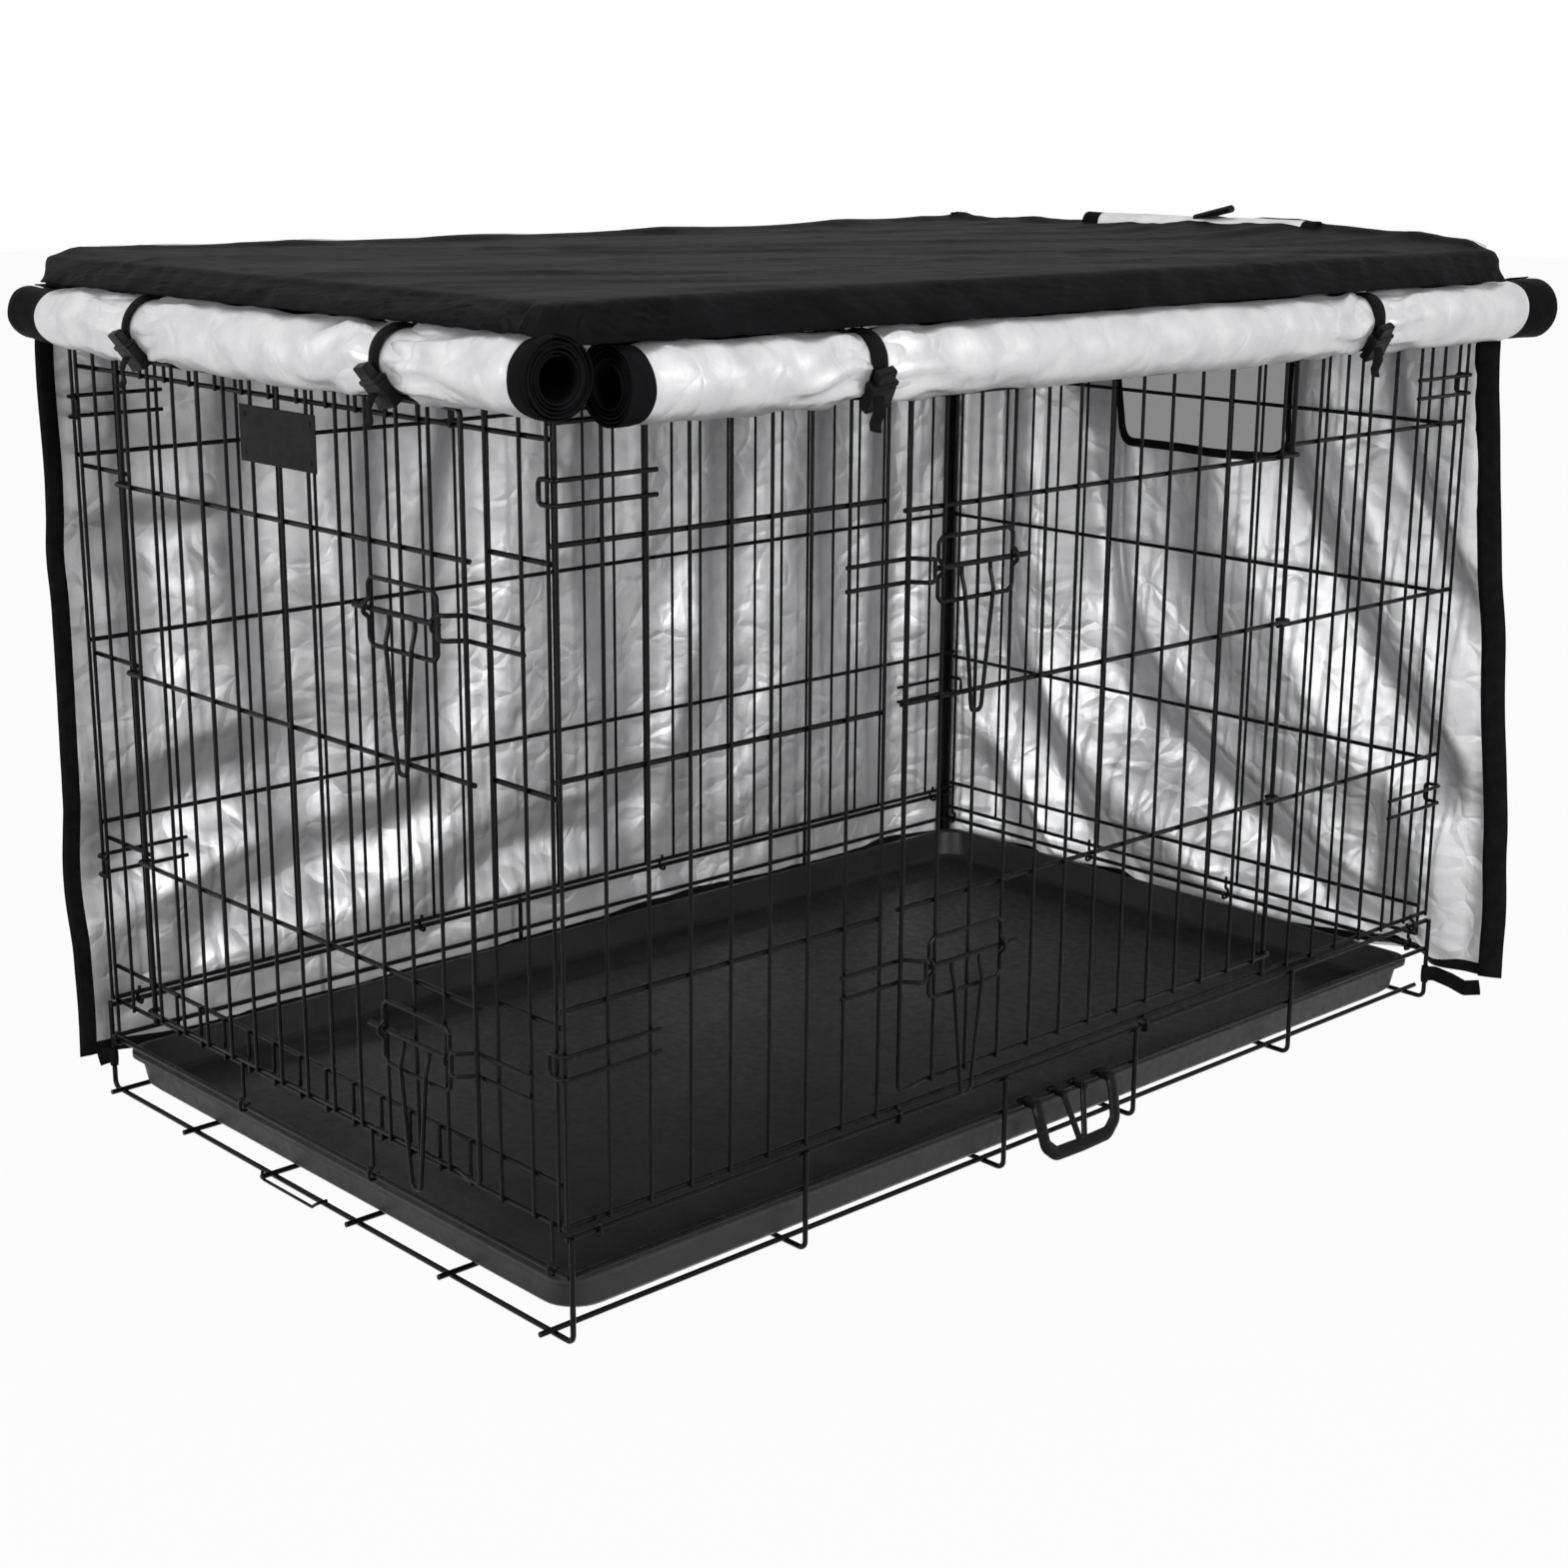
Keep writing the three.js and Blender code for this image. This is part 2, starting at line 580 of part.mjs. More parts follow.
// A hairpin on the panel that passes behind the door's edge and stands out in front of the rod.
function receiver(plane, free, outer, z) {
  const lying = UPRIGHT / 2 + FIT + HOOK / 2;
  const standing = rodW + FRAME / 2 + HOOK / 2 + 1;
  const closed = free - RECEIVER_BACK;
  const leg = (side) => [
    [outer + RECEIVER_PAST, lying, side * RECEIVER_HALF],
    [free - HOOK * 1.5, lying, side * RECEIVER_HALF],
    [closed + HOOK * 1.5, standing, side * RECEIVER_HALF],
    [closed, standing, side * RECEIVER_HALF],
  ];
  const points = [...leg(1), ...leg(-1).reverse()];
  return wire(points.map(([u, w, up]) => plane(u, w, z + up)), HOOK, { sides: 6, bend: 3.5 });
}

function buildDoor(name, plane, hinge, opening, outer, rails, latches) {
  const free = opening - DOOR_FREE_MARGIN;
  add(name + "_door", door(plane, hinge, free, rails), wireBlack);
  ["upper", "lower"].forEach((level, i) => {
    const at = (u, w, z) => plane(free - LATCH_BACK + u, w, latches[i] + z);
    add(`${name}_keeper_${level}`, keeper(at), wireBlack);
    add(`${name}_bolt_${level}`, bolt(at), wireBlack);
    add(`${name}_receiver_${level}`, receiver(plane, free, outer, latches[i]), wireBlack);
  });
}

// ---- Tray ----
function roundedRectangle(halfX, halfY, corner, z) {
  const ring = [];
  const centres = [
    [halfX - corner, halfY - corner],
    [corner - halfX, halfY - corner],
    [corner - halfX, corner - halfY],
    [halfX - corner, corner - halfY],
  ];
  centres.forEach(([x, y], quarter) => {
    for (let k = 0; k <= 3; k += 1) {
      const angle = ((quarter + k / 3) * Math.PI) / 2;
      ring.push(new THREE.Vector3(x + corner * Math.cos(angle), y + corner * Math.sin(angle), z));
    }
  });
  return ring;
}

// A closed skin through rings of equal point count, with a flat cap on the first and last ring.
function loft(rings) {
  const count = rings[0].length;
  const places = rings.flat();
  const faces = [];
  for (let r = 0; r < rings.length - 1; r += 1) {
    for (let i = 0; i < count; i += 1) {
      const a = r * count + i;
      const b = r * count + ((i + 1) % count);
      faces.push(a, b, b + count, a, b + count, a + count);
    }
  }
  const last = (rings.length - 1) * count;
  for (let i = 1; i < count - 1; i += 1) {
    faces.push(0, i + 1, i);
    faces.push(last, last + i, last + i + 1);
  }
  const geometry = new THREE.BufferGeometry().setFromPoints(places);
  geometry.setIndex(faces);
  geometry.computeVertexNormals();
  return geometry;
}

function buildTray() {
  const floor = FLOOR_WIRE_Z + FRAME / 2 + FIT;
  const halfX = WIDTH / 2 - FRAME / 2 - TRAY_SIDE_GAP;
  const halfY = halfLong - TRAY_END_GAP;
  const ring = (inset, z, corner = TRAY_CORNER) => roundedRectangle(halfX - inset, halfY - inset, corner, z);
  const under = TRAY_TOP - TRAY_WALL;
  const rings = [
    ring(TRAY_FLANGE + TRAY_SLOPE, floor),
    ring(TRAY_FLANGE, under),
    ring(0, under),
    ring(0, TRAY_TOP),
    ring(TRAY_FLANGE + TRAY_WALL, TRAY_TOP),
    ring(TRAY_FLANGE + TRAY_SLOPE + TRAY_WALL, floor + TRAY_WALL),
  ];
  add("tray", loft(rings), trayPlastic);
}

// ---- Pan stop: a wire that curls under a floor wire's stub, with a lever lying in front of the hoop ----
function buildPanStop() {
  const x = floorWirePlaces()[2];
  const y = -halfLong - FLOOR_STUB + STOP_WIRE * 1.5;
  const radius = FRAME / Math.SQRT2 + FIT + STOP_WIRE / 2;
  const low = FLOOR_WIRE_Z - radius;
  const over = HOOP_Z + FRAME / 2 + FIT + STOP_WIRE / 2;
  const corners = [
    new THREE.Vector3(x - radius, y, FLOOR_WIRE_Z + FRAME / 2 - FIT),
    new THREE.Vector3(x - radius, y, low),
    new THREE.Vector3(x + STOP_LEVER - STOP_WIRE * 2, y, low),
    new THREE.Vector3(x + STOP_LEVER, y, over),
    new THREE.Vector3(x + STOP_LEVER, -halfLong, over),
  ];
  add("pan_stop", wire(corners, STOP_WIRE, { sides: 6, bend: 2 }), wireBlack);
}

// ---- Carry handle ----
function buildCarryHandle() {
  const y = HANDLE_PLACE - halfLong;
  const half = HANDLE_SPAN / 2;
  const top = RAIL_B_Z + 4;
  const u = new THREE.Shape();
  const corner = 12;
  u.moveTo(-half, top);
  u.lineTo(-half, HANDLE_LOW + corner);
  u.quadraticCurveTo(-half, HANDLE_LOW, -half + corner, HANDLE_LOW);
  u.lineTo(half - corner, HANDLE_LOW);
  u.quadraticCurveTo(half, HANDLE_LOW, half, HANDLE_LOW + corner);
  u.lineTo(half, top);
  u.lineTo(half - HANDLE_ARM, top);
  u.lineTo(half - HANDLE_ARM, HANDLE_LOW + HANDLE_BAR);
  u.lineTo(HANDLE_ARM / 2, HANDLE_LOW + HANDLE_BAR);
  u.lineTo(HANDLE_ARM / 2, top);
  u.lineTo(-HANDLE_ARM / 2, top);
  u.lineTo(-HANDLE_ARM / 2, HANDLE_LOW + HANDLE_BAR);
  u.lineTo(-half + HANDLE_ARM, HANDLE_LOW + HANDLE_BAR);
  u.lineTo(-half + HANDLE_ARM, top);
  // The outline is drawn in (y, z) and thickened along x.
  const strap = new THREE.ExtrudeGeometry(u, { depth: HANDLE_THICK, bevelEnabled: false, curveSegments: 4 });
  strap.applyMatrix4(new THREE.Matrix4().set(0, 0, 1, 0, 1, 0, 0, 0, 0, 1, 0, 0, 0, 0, 0, 1));
  strap.translate(WIDTH / 2 + HANDLE_OUT - HANDLE_THICK / 2, y, 0);
  const ends = half - HANDLE_ARM / 2;
  const hooks = [-ends, 0, ends].map((place) => handleHook(y + place));
  add("carry_handle", weld([strap, ...hooks]), handlePlastic);
}

// A hook over the base rail with a web out to the strap, drawn in (x, z).
function handleHook(y) {
  const inner = FRAME / Math.SQRT2 + FIT;
  const outer = inner + 3.2;
  const open = (-2 * Math.PI) / 3;
  const shape = new THREE.Shape();
  shape.absarc(0, 0, outer, -0.4, open + 2 * Math.PI, false);
  shape.absarc(0, 0, inner, open + 2 * Math.PI, -0.4, true);
  const ring = new THREE.ExtrudeGeometry(shape, { depth: HANDLE_ARM, bevelEnabled: false, curveSegments: 8 });
  ring.rotateX(Math.PI / 2);
  ring.translate(WIDTH / 2, y + HANDLE_ARM / 2, RAIL_B_Z);
  const web = HANDLE_OUT - inner - 1;
  const box = new THREE.BoxGeometry(web, HANDLE_ARM, 5);
  box.translate(WIDTH / 2 + inner + 1 + web / 2, y, RAIL_B_Z);
  return geometryOf(solidOf(ring).add(solidOf(box)));
}

// ---- Name plate, left bare ----
function buildNamePlate() {
  const halfW = PLATE_WIDTH / 2;
  const halfH = PLATE_HEIGHT / 2;
  const r = 6;
  const outline = new THREE.Shape();
  outline.moveTo(-halfW + r, -halfH);
  outline.lineTo(halfW - r, -halfH);
  outline.quadraticCurveTo(halfW, -halfH, halfW, -halfH + r);
  outline.lineTo(halfW, halfH - r);
  outline.quadraticCurveTo(halfW, halfH, halfW - r, halfH);
  outline.lineTo(-halfW + r, halfH);
  outline.quadraticCurveTo(-halfW, halfH, -halfW, halfH - r);
  outline.lineTo(-halfW, -halfH + r);
  outline.quadraticCurveTo(-halfW, -halfH, -halfW + r, -halfH);
  const plate = new THREE.ExtrudeGeometry(outline, { depth: PLATE_THICK, bevelEnabled: false, curveSegments: 3 });
  plate.rotateX(Math.PI / 2);
  const z = frontDoorRails[0] - PLATE_DROP;
  add("name_plate", plate, handlePlastic, frontPlane(PLATE_PLACE, doorFace + FIT, z));
}

// ---- Cover ----
const frontRollZ = PANEL_TOP - FRONT_ROLL_DROP;
const sideRollZ = PANEL_TOP - SIDE_ROLL_DROP;

function rollAlong(axis, span, z, out) {
  const length = span[1] - span[0];
  const middle = (span[0] + span[1]) / 2;
  const roll = new THREE.CylinderGeometry(ROLL_R, ROLL_R, length, 16);
  if (axis === "x") return roll.rotateZ(Math.PI / 2).translate(middle, -halfLong - out, z);
  return roll.translate(WIDTH / 2 + out, middle, z);
}

function ringBand(radius) {
  const half = STRAP_WIDTH / 2;
  const section = [
    new THREE.Vector2(radius, -half),
    new THREE.Vector2(radius + STRAP_THICK, -half),
    new THREE.Vector2(radius + STRAP_THICK, half),
    new THREE.Vector2(radius, half),
    new THREE.Vector2(radius, -half),
  ];
  return new THREE.LatheGeometry(section, 16);
}

function buildRolls() {
  const band = ROLL_R + FIT * 1.5;
  const outside = band + STRAP_THICK + FIT + BUCKLE[2] / 2;
  const frontSpan = [-WIDTH / 2 - FRONT_ROLL_PAST[0], WIDTH / 2 + FRONT_ROLL_PAST[1]];
  const sideSpan = [-halfLong + SIDE_ROLL_SHORT, halfLong + SIDE_ROLL_PAST];
  add("front_roll", rollAlong("x", frontSpan, frontRollZ, FRONT_ROLL_OUT), silverLining);
  add("side_roll", rollAlong("y", sideSpan, sideRollZ, SIDE_ROLL_OUT), silverLining);
  FRONT_STRAPS.forEach((x, i) => {
    const middle = new THREE.Vector3(x, -halfLong - FRONT_ROLL_OUT, frontRollZ);
    add(`front_roll_strap_${i + 1}`, ringBand(band).rotateZ(Math.PI / 2), strapWeb, middle);
    const buckle = new THREE.BoxGeometry(BUCKLE[0], BUCKLE[2], BUCKLE[1]);
    add(`front_roll_buckle_${i + 1}`, buckle, handlePlastic, middle.clone().setY(middle.y - outside));
  });
  SIDE_STRAPS.forEach((y, i) => {
    const middle = new THREE.Vector3(WIDTH / 2 + SIDE_ROLL_OUT, y, sideRollZ);
    add(`side_roll_strap_${i + 1}`, ringBand(band), strapWeb, middle);
    const buckle = new THREE.BoxGeometry(BUCKLE[2], BUCKLE[0], BUCKLE[1]);
    add(`side_roll_buckle_${i + 1}`, buckle, handlePlastic, middle.clone().setX(middle.x + outside));
  });
}

// An outline of [a, b] points thickened along a third axis: "x" draws in (y, z) and "y" draws in (x, z).
function slab(outline, axis, from, thick) {
  const shape = new THREE.Shape(outline.map(([a, b]) => new THREE.Vector2(a, b)));
  const geometry = new THREE.ExtrudeGeometry(shape, { depth: thick, bevelEnabled: false });
  if (axis === "x") {
    geometry.applyMatrix4(new THREE.Matrix4().set(0, 0, 1, 0, 1, 0, 0, 0, 0, 1, 0, 0, 0, 0, 0, 1));
    return geometry.translate(from, 0, 0);
  }
  geometry.rotateX(Math.PI / 2);
  return geometry.translate(0, from + thick, 0);
}

function buildCover(roofTop) {
  const under = roofTop + FIT;
  const top = under + CLOTH;
  const leftX = -WIDTH / 2 - LEFT_SHEET_OUT;
  const backY = halfLong + BACK_SHEET_OUT;
  const eaveX = WIDTH / 2 + UPRIGHT * 1.5 + FIT * 4;
  const eaveY = -halfLong - UPRIGHT;
  const strapTop = ROLL_R + 3 * FIT + STRAP_THICK;
  const sheet = new THREE.BoxGeometry(eaveX - leftX + CLOTH / 2, backY - eaveY + CLOTH / 2, CLOTH);
  sheet.translate((eaveX + leftX - CLOTH / 2) / 2, (backY + eaveY + CLOTH / 2) / 2, under + CLOTH / 2);
  const frontFall = [
    [eaveY + 1, top],
    [-halfLong - FRONT_ROLL_OUT - 3, frontRollZ + strapTop + CLOTH],
    [-halfLong - FRONT_ROLL_OUT - 3, frontRollZ + strapTop],
    [eaveY + 1, under],
  ];
  const rightFall = [
    [eaveX - 1, under],
    [WIDTH / 2 + SIDE_ROLL_OUT + 3, sideRollZ + strapTop],
    [WIDTH / 2 + SIDE_ROLL_OUT + 3, sideRollZ + strapTop + CLOTH],
    [eaveX - 1, top],
  ];
  const front = slab(frontFall, "x", leftX, eaveX - leftX);
  const right = slab(rightFall, "y", eaveY, backY - eaveY);
  add("cover_top", weld([sheet, front, right]), coverCloth);

  const leftPoints = [
    [-halfLong - LEFT_SHEET_LEAN[1], LEFT_SHEET_LOW],
    [backY - CLOTH / 2 - FIT, LEFT_SHEET_LOW],
    [backY - CLOTH / 2 - FIT, under - FIT],
    [-halfLong, under - FIT],
    [-halfLong, frontRollZ - ROLL_R - UNDER_ROLL],
    [-halfLong - LEFT_SHEET_LEAN[0], frontRollZ - ROLL_R - UNDER_ROLL],
  ];
  add("cover_left_panel", slab(leftPoints, "x", leftX - CLOTH / 2, CLOTH), coverCloth);

  const besideRoll = WIDTH / 2 + SIDE_ROLL_OUT - ROLL_R - 2 * FIT;
  const backPoints = [
    [leftX + CLOTH, BACK_SHEET_LOW],
    [WIDTH / 2 + LEFT_SHEET_OUT + BACK_SHEET_FLARE, BACK_SHEET_LOW],
    [WIDTH / 2 + LEFT_SHEET_OUT, sideRollZ - ROLL_R - UNDER_ROLL],
    [besideRoll, sideRollZ - ROLL_R - UNDER_ROLL],
    [besideRoll, under - FIT],
    [leftX + CLOTH, under - FIT],
  ];
  const panel = solidOf(slab(backPoints, "y", backY - CLOTH / 2, CLOTH));
  const windowZ = PANEL_TOP - WINDOW.drop - WINDOW.height / 2;
  const hole = new THREE.BoxGeometry(WINDOW.right - WINDOW.left, CLOTH * 3, WINDOW.height);
  hole.translate((WINDOW.left + WINDOW.right) / 2, backY, windowZ);
  add("cover_back_panel", geometryOf(panel.subtract(solidOf(hole))), coverCloth);
  const mesh = new THREE.BoxGeometry(WINDOW.right - WINDOW.left - 2 * FIT, 1, WINDOW.height - 2 * FIT);
  const middle = new THREE.Vector3((WINDOW.left + WINDOW.right) / 2, backY, windowZ);
  add("cover_window_mesh", mesh, meshCloth, middle);

  const rollLength = WINDOW_ROLL_SPAN[1] - WINDOW_ROLL_SPAN[0];
  const rollX = (WINDOW_ROLL_SPAN[0] + WINDOW_ROLL_SPAN[1]) / 2;
  const roll = new THREE.CylinderGeometry(WINDOW_ROLL_R, WINDOW_ROLL_R, rollLength, 12).rotateZ(Math.PI / 2);
  const rollZ = top + FIT + WINDOW_ROLL_R;
  add("window_roll", roll, silverLining, new THREE.Vector3(rollX, halfLong, rollZ));
  const toggleZ = rollZ + WINDOW_ROLL_R + FIT + TOGGLE[2] / 2;
  const toggleAt = new THREE.Vector3(TOGGLE_PLACE, halfLong, toggleZ);
  add("window_toggle", new THREE.BoxGeometry(...TOGGLE), handlePlastic, toggleAt);
}

// A hook-and-loop band round a base leg, with a tail to the cloth.
function cornerStrap(name, leg, low, tail) {
  const inner = FRAME / 2 + FIT;
  const outer = inner + STRAP_THICK * 1.2;
  const box = (half, height) => new THREE.BoxGeometry(2 * half, 2 * half, height);
  const band = solidOf(box(outer, CORNER_STRAP_HEIGHT)).subtract(solidOf(box(inner, CORNER_STRAP_HEIGHT + 2)));
  const run = tail.clone().multiplyScalar((tail.length() + outer) / 2 / tail.length());
  const size = (value) => (Math.abs(value) > 1e-6 ? tail.length() - outer : 2 * inner);
  const strip = new THREE.BoxGeometry(size(tail.x), size(tail.y), CORNER_STRAP_HEIGHT);
  strip.translate(run.x, run.y, 0);
  const geometry = geometryOf(band.add(solidOf(strip)));
  add(name, geometry, strapWeb, new THREE.Vector3(leg.x, leg.y, low + CORNER_STRAP_HEIGHT / 2));
}

// ---- Assembly ----
buildFloorGrid();
buildSideFrame("base_side_frame_left", -1);
buildSideFrame("base_side_frame_right", 1);
buildCrossbar("base_front_crossbar", frontPlane);
buildCrossbar("base_back_crossbar", backPlane);
buildRightPanel();
buildLeftPanel();
const roofTop = buildRoof();
buildFrontPanel();
buildBackPanel();
const frontOuter = crossPlace(FRONT_DOOR_TO + 1);
const frontFree = crossPlace(FRONT_DOOR_TO);
buildDoor("front", frontPlane, crossPlace(FRONT_DOOR_FROM), frontFree, frontOuter, frontDoorRails, FRONT_LATCH_Z);
const sideOuter = longPlace(SIDE_DOOR_FROM - 1);
const sideFree = longPlace(SIDE_DOOR_FROM);
buildDoor("side", rightPlane, longPlace(SIDE_DOOR_TO), sideFree, sideOuter, sideDoorRails, SIDE_LATCH_Z);
buildTray();
buildPanStop();
buildCarryHandle();
buildNamePlate();
buildRolls();
buildCover(roofTop);
const backTail = new THREE.Vector3(0, BACK_SHEET_OUT - CLOTH / 2 - FIT, 0);
cornerStrap("corner_strap_back", new THREE.Vector2(legX, halfLong), CORNER_STRAP_HEIGHT, backTail);
const leftTail = new THREE.Vector3(-(LEFT_SHEET_OUT - LEG_OUT - CLOTH / 2 - FIT), 0, 0);
const leftLow = LEFT_SHEET_LOW + 5 - CORNER_STRAP_HEIGHT;
cornerStrap("corner_strap_front", new THREE.Vector2(-legX, -halfLong), leftLow, leftTail);

// The origin moves under the middle of the whole object, to the nearest millimetre.
const middle = new THREE.Box3().setFromObject(crate).getCenter(new THREE.Vector3()).round();
crate.position.set(-middle.x, -middle.y, 0);

export default crate;
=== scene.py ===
"""A folding wire dog crate with its plastic tray, and a black cloth cover with a silver lining.

The cover's front and side flaps are rolled up over the two doors. Sizes are in millimetres and become
metres where a shape is made. Each wire panel is drawn on its own plane: u runs along the panel, w runs
out of the crate from the uprights' middle, and z is up.
"""
import math

import bmesh
import bpy
from mathutils import Matrix, Vector, noise


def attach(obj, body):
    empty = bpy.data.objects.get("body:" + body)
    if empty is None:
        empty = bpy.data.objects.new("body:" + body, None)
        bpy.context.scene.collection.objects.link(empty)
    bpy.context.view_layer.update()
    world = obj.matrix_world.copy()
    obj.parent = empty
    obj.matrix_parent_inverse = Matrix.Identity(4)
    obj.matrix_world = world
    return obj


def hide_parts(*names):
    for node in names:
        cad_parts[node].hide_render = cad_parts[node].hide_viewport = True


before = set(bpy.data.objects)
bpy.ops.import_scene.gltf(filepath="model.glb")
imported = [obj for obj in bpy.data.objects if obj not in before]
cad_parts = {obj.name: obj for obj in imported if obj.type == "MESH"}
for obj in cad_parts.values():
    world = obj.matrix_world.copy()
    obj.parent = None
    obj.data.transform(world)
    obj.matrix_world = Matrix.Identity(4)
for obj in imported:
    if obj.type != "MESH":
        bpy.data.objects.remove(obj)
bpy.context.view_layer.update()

MM = 0.001
CRATE_MIDDLE = Vector((-23, 6, 0)) * MM  # the crate's middle, from the middle of the whole object

# ---- Sizes of the wire frame ----
LENGTH = 1219
WIDTH = 732
HALF_LONG = LENGTH / 2
PANEL_TOP = 815
LONG_SPACES = 28
CROSS_SPACES = 17
LONG_PITCH = LENGTH / LONG_SPACES
CROSS_PITCH = WIDTH / CROSS_SPACES
UPRIGHT = 3.5
RAIL = 4.5
FRAME = 5
HOOK = 4
FIT = 0.3  # the play between parts that move or hook together
WELD = 0.3  # how far a rail sinks into an upright where they are spot welded
WIRE_SIDES = 8
RAIL_IN = (UPRIGHT + RAIL) / 2 - WELD

# ---- Base ----
LEG_X = WIDTH / 2 + FRAME
FOOT_BEND = 8
RAIL_A_Z = 91.5
RAIL_B_Z = 58
HOOP_PLACES = [0, 257, 514, 705, 962, LENGTH]
HOOP_Z = FRAME / 2
FLOOR_WIRES = 6
FLOOR_EDGE = 22.5
FLOOR_STUB = 16.5  # how far a floor wire runs past the hoops at each end
FLOOR_WIRE_Z = HOOP_Z + FRAME
SIDE_HOOK_PLACES = [30, 375, 722, 1190]
END_HOOK_PLACES = [-121.25, 91.75, 346.25]

# ---- Panels ----
SIDE_BOTTOM_Z = 100
SIDE_RAILS_RIGHT = [648, 467, 283]
SIDE_RAILS_LEFT = [643, 465, 283]
SIDE_DOOR_TOP_RAIL = 739
SIDE_DOOR_FROM = 8
SIDE_DOOR_TO = 21
END_TOP = PANEL_TOP - 1
END_HALF = 358
EDGE_PLACE = END_HALF - UPRIGHT / 2
FRONT_DOOR_TOP_RAIL = 726
FRONT_STUB_RAILS = [633, 452, 267]
FRONT_LOW_RAILS = [134, 97]
FRONT_DOOR_FROM = 2
FRONT_DOOR_TO = 15
BACK_RAILS = [645, 464, 278, 108, 75]
ROOF_CROSS = 14
ROOF_LONG = 5
ROOF_HOOK_DROP = 13
ROOF_CROSS_Z = PANEL_TOP + RAIL / 2 + FIT + UPRIGHT / 2
ROOF_LONG_Z = ROOF_CROSS_Z + (UPRIGHT + RAIL) / 2
CORNER_HOOK_Z = [688, 238]
CORNER_HOOK_GAP = 19
CORNER_HOOK_RUN = 95
CORNER_HOOK_TIP = 15

# ---- Doors and latches ----
DOOR_COLUMNS = 12
DOOR_HINGE_MARGIN = 29
DOOR_FREE_MARGIN = 17
FRONT_DOOR_RAILS = [741, 624, 446, 260, 108]
SIDE_DOOR_RAILS = [733, 639, 473, 290, 122]
DOOR_RAIL_OUT = 5.25
DOOR_UPRIGHT_OUT = 9.25
DOOR_CORNER = 12
DOOR_FACE = DOOR_UPRIGHT_OUT + UPRIGHT / 2
KEEPER_WIDTH = 94
KEEPER_UP = 26
KEEPER_DOWN = 30
KEEPER_W = DOOR_FACE + FIT + HOOK / 2
ROD_W = DOOR_FACE + FIT + FRAME / 2
NOTCH_W = ROD_W + FRAME / 2 + HOOK / 2 + 2 * FIT
LATCH_BACK = 79
BOLT_BACK = 68
BOLT_FRONT = 50
HANDLE_DROP = 130
HANDLE_HALF = 18
RECEIVER_HALF = 10
RECEIVER_BACK = 22
RECEIVER_PAST = 7
FRONT_LATCH_Z = [571, 210]
SIDE_LATCH_Z = [588, 232]

# ---- Tray, pan stop, carry handle and name plate ----
TRAY_HALF_X = 358
TRAY_HALF_Y = 606
TRAY_LIP = 6
TRAY_WALL = 2.5
TRAY_TOP = 47.5
TRAY_SLOPE = 9
TRAY_CORNER = 25
TRAY_FLOOR_Z = FLOOR_WIRE_Z + FRAME / 2 + FIT
STOP_WIRE = 3
STOP_LEVER = 84
CARRY_PLACE = 603
CARRY_SPAN = 114
CARRY_ARM = 14
CARRY_THICK = 6
CARRY_OUT = 18
CARRY_LOW = 1
PLATE_WIDTH = 116
PLATE_HEIGHT = 48
PLATE_THICK = 1.2
RIVET_IN = 8  # how far a rivet lies in from the plate's edges
RIVET_RADIUS = 2.2
PLATE_PLACE = [8.5, 695]

# ---- Cover ----
CLOTH = 1.2
ROLL_START = 32  # radius of a roll's outermost turn where the flap comes down to it
ROLL_CORE = 17  # radius of its innermost turn
ROLL_TURNS = 5
PINCH_DEPTH = 8.5  # how far a strap draws the roll in
PINCH_WIDTH = 17
FAN_DEPTH = 8  # the folds that spread from each strap
FAN_WIDTH = 95
STRAP_RADIUS = 26.2
STRAP_HALF = 8.5
BUCKLE_RADIUS = 31
HEM_UP = 6  # how far above a panel's lower edge the middle of its hem lies
HEM_HALF = 7
HEM_THICK = 1.3
FRONT_ROLL_OUT = 35.5
FRONT_ROLL_Z = 777
FRONT_ROLL_SPAN = [-364, 417]
SIDE_ROLL_OUT = 36
SIDE_ROLL_Z = 768
SIDE_ROLL_SPAN = [-588, 665]
FRONT_ROLL_TAPER = 6  # how much thinner the front roll is at its far end
FRONT_STRAPS = [-141, 231]
SIDE_STRAPS = [-332, 351]
FAR_BOUND = 50  # how much of a roll's end is black binding, at the ends away from the front right corner
NEAR_BOUND = 24
TOP_Z = 827  # where the top cloth rests, and where the hanging panels' flat places start
TOP_LEFT = -379
TOP_BACK = 622.5
EAVE_X = 370.5
EAVE_Y = -612
LEFT_SHEET_X = -378
BACK_SHEET_Y = 622
LEFT_SHEET_LOW = 26
BACK_SHEET_LOW = 20
FOLD_LIMIT = 46
WINDOW = {"left": -121, "right": 118, "low": 580, "high": 770}
WINDOW_CORNER = 26
BACK_SHEET_WIDTH = 800
BACK_SHEET_DROP = TOP_Z - BACK_SHEET_LOW
WINDOW_ROLL_R = 12.5
WINDOW_ROLL_SPAN = [-160, 168]


# ---- Camera ----

AZIMUTH = math.radians(46.75)
ELEVATION = math.radians(15.0)
ROLL = math.radians(0.41)
EYE = Vector((1.808, -1.7335, 0.956)) + CRATE_MIDDLE
LENS = 57.2
SENSOR = 36


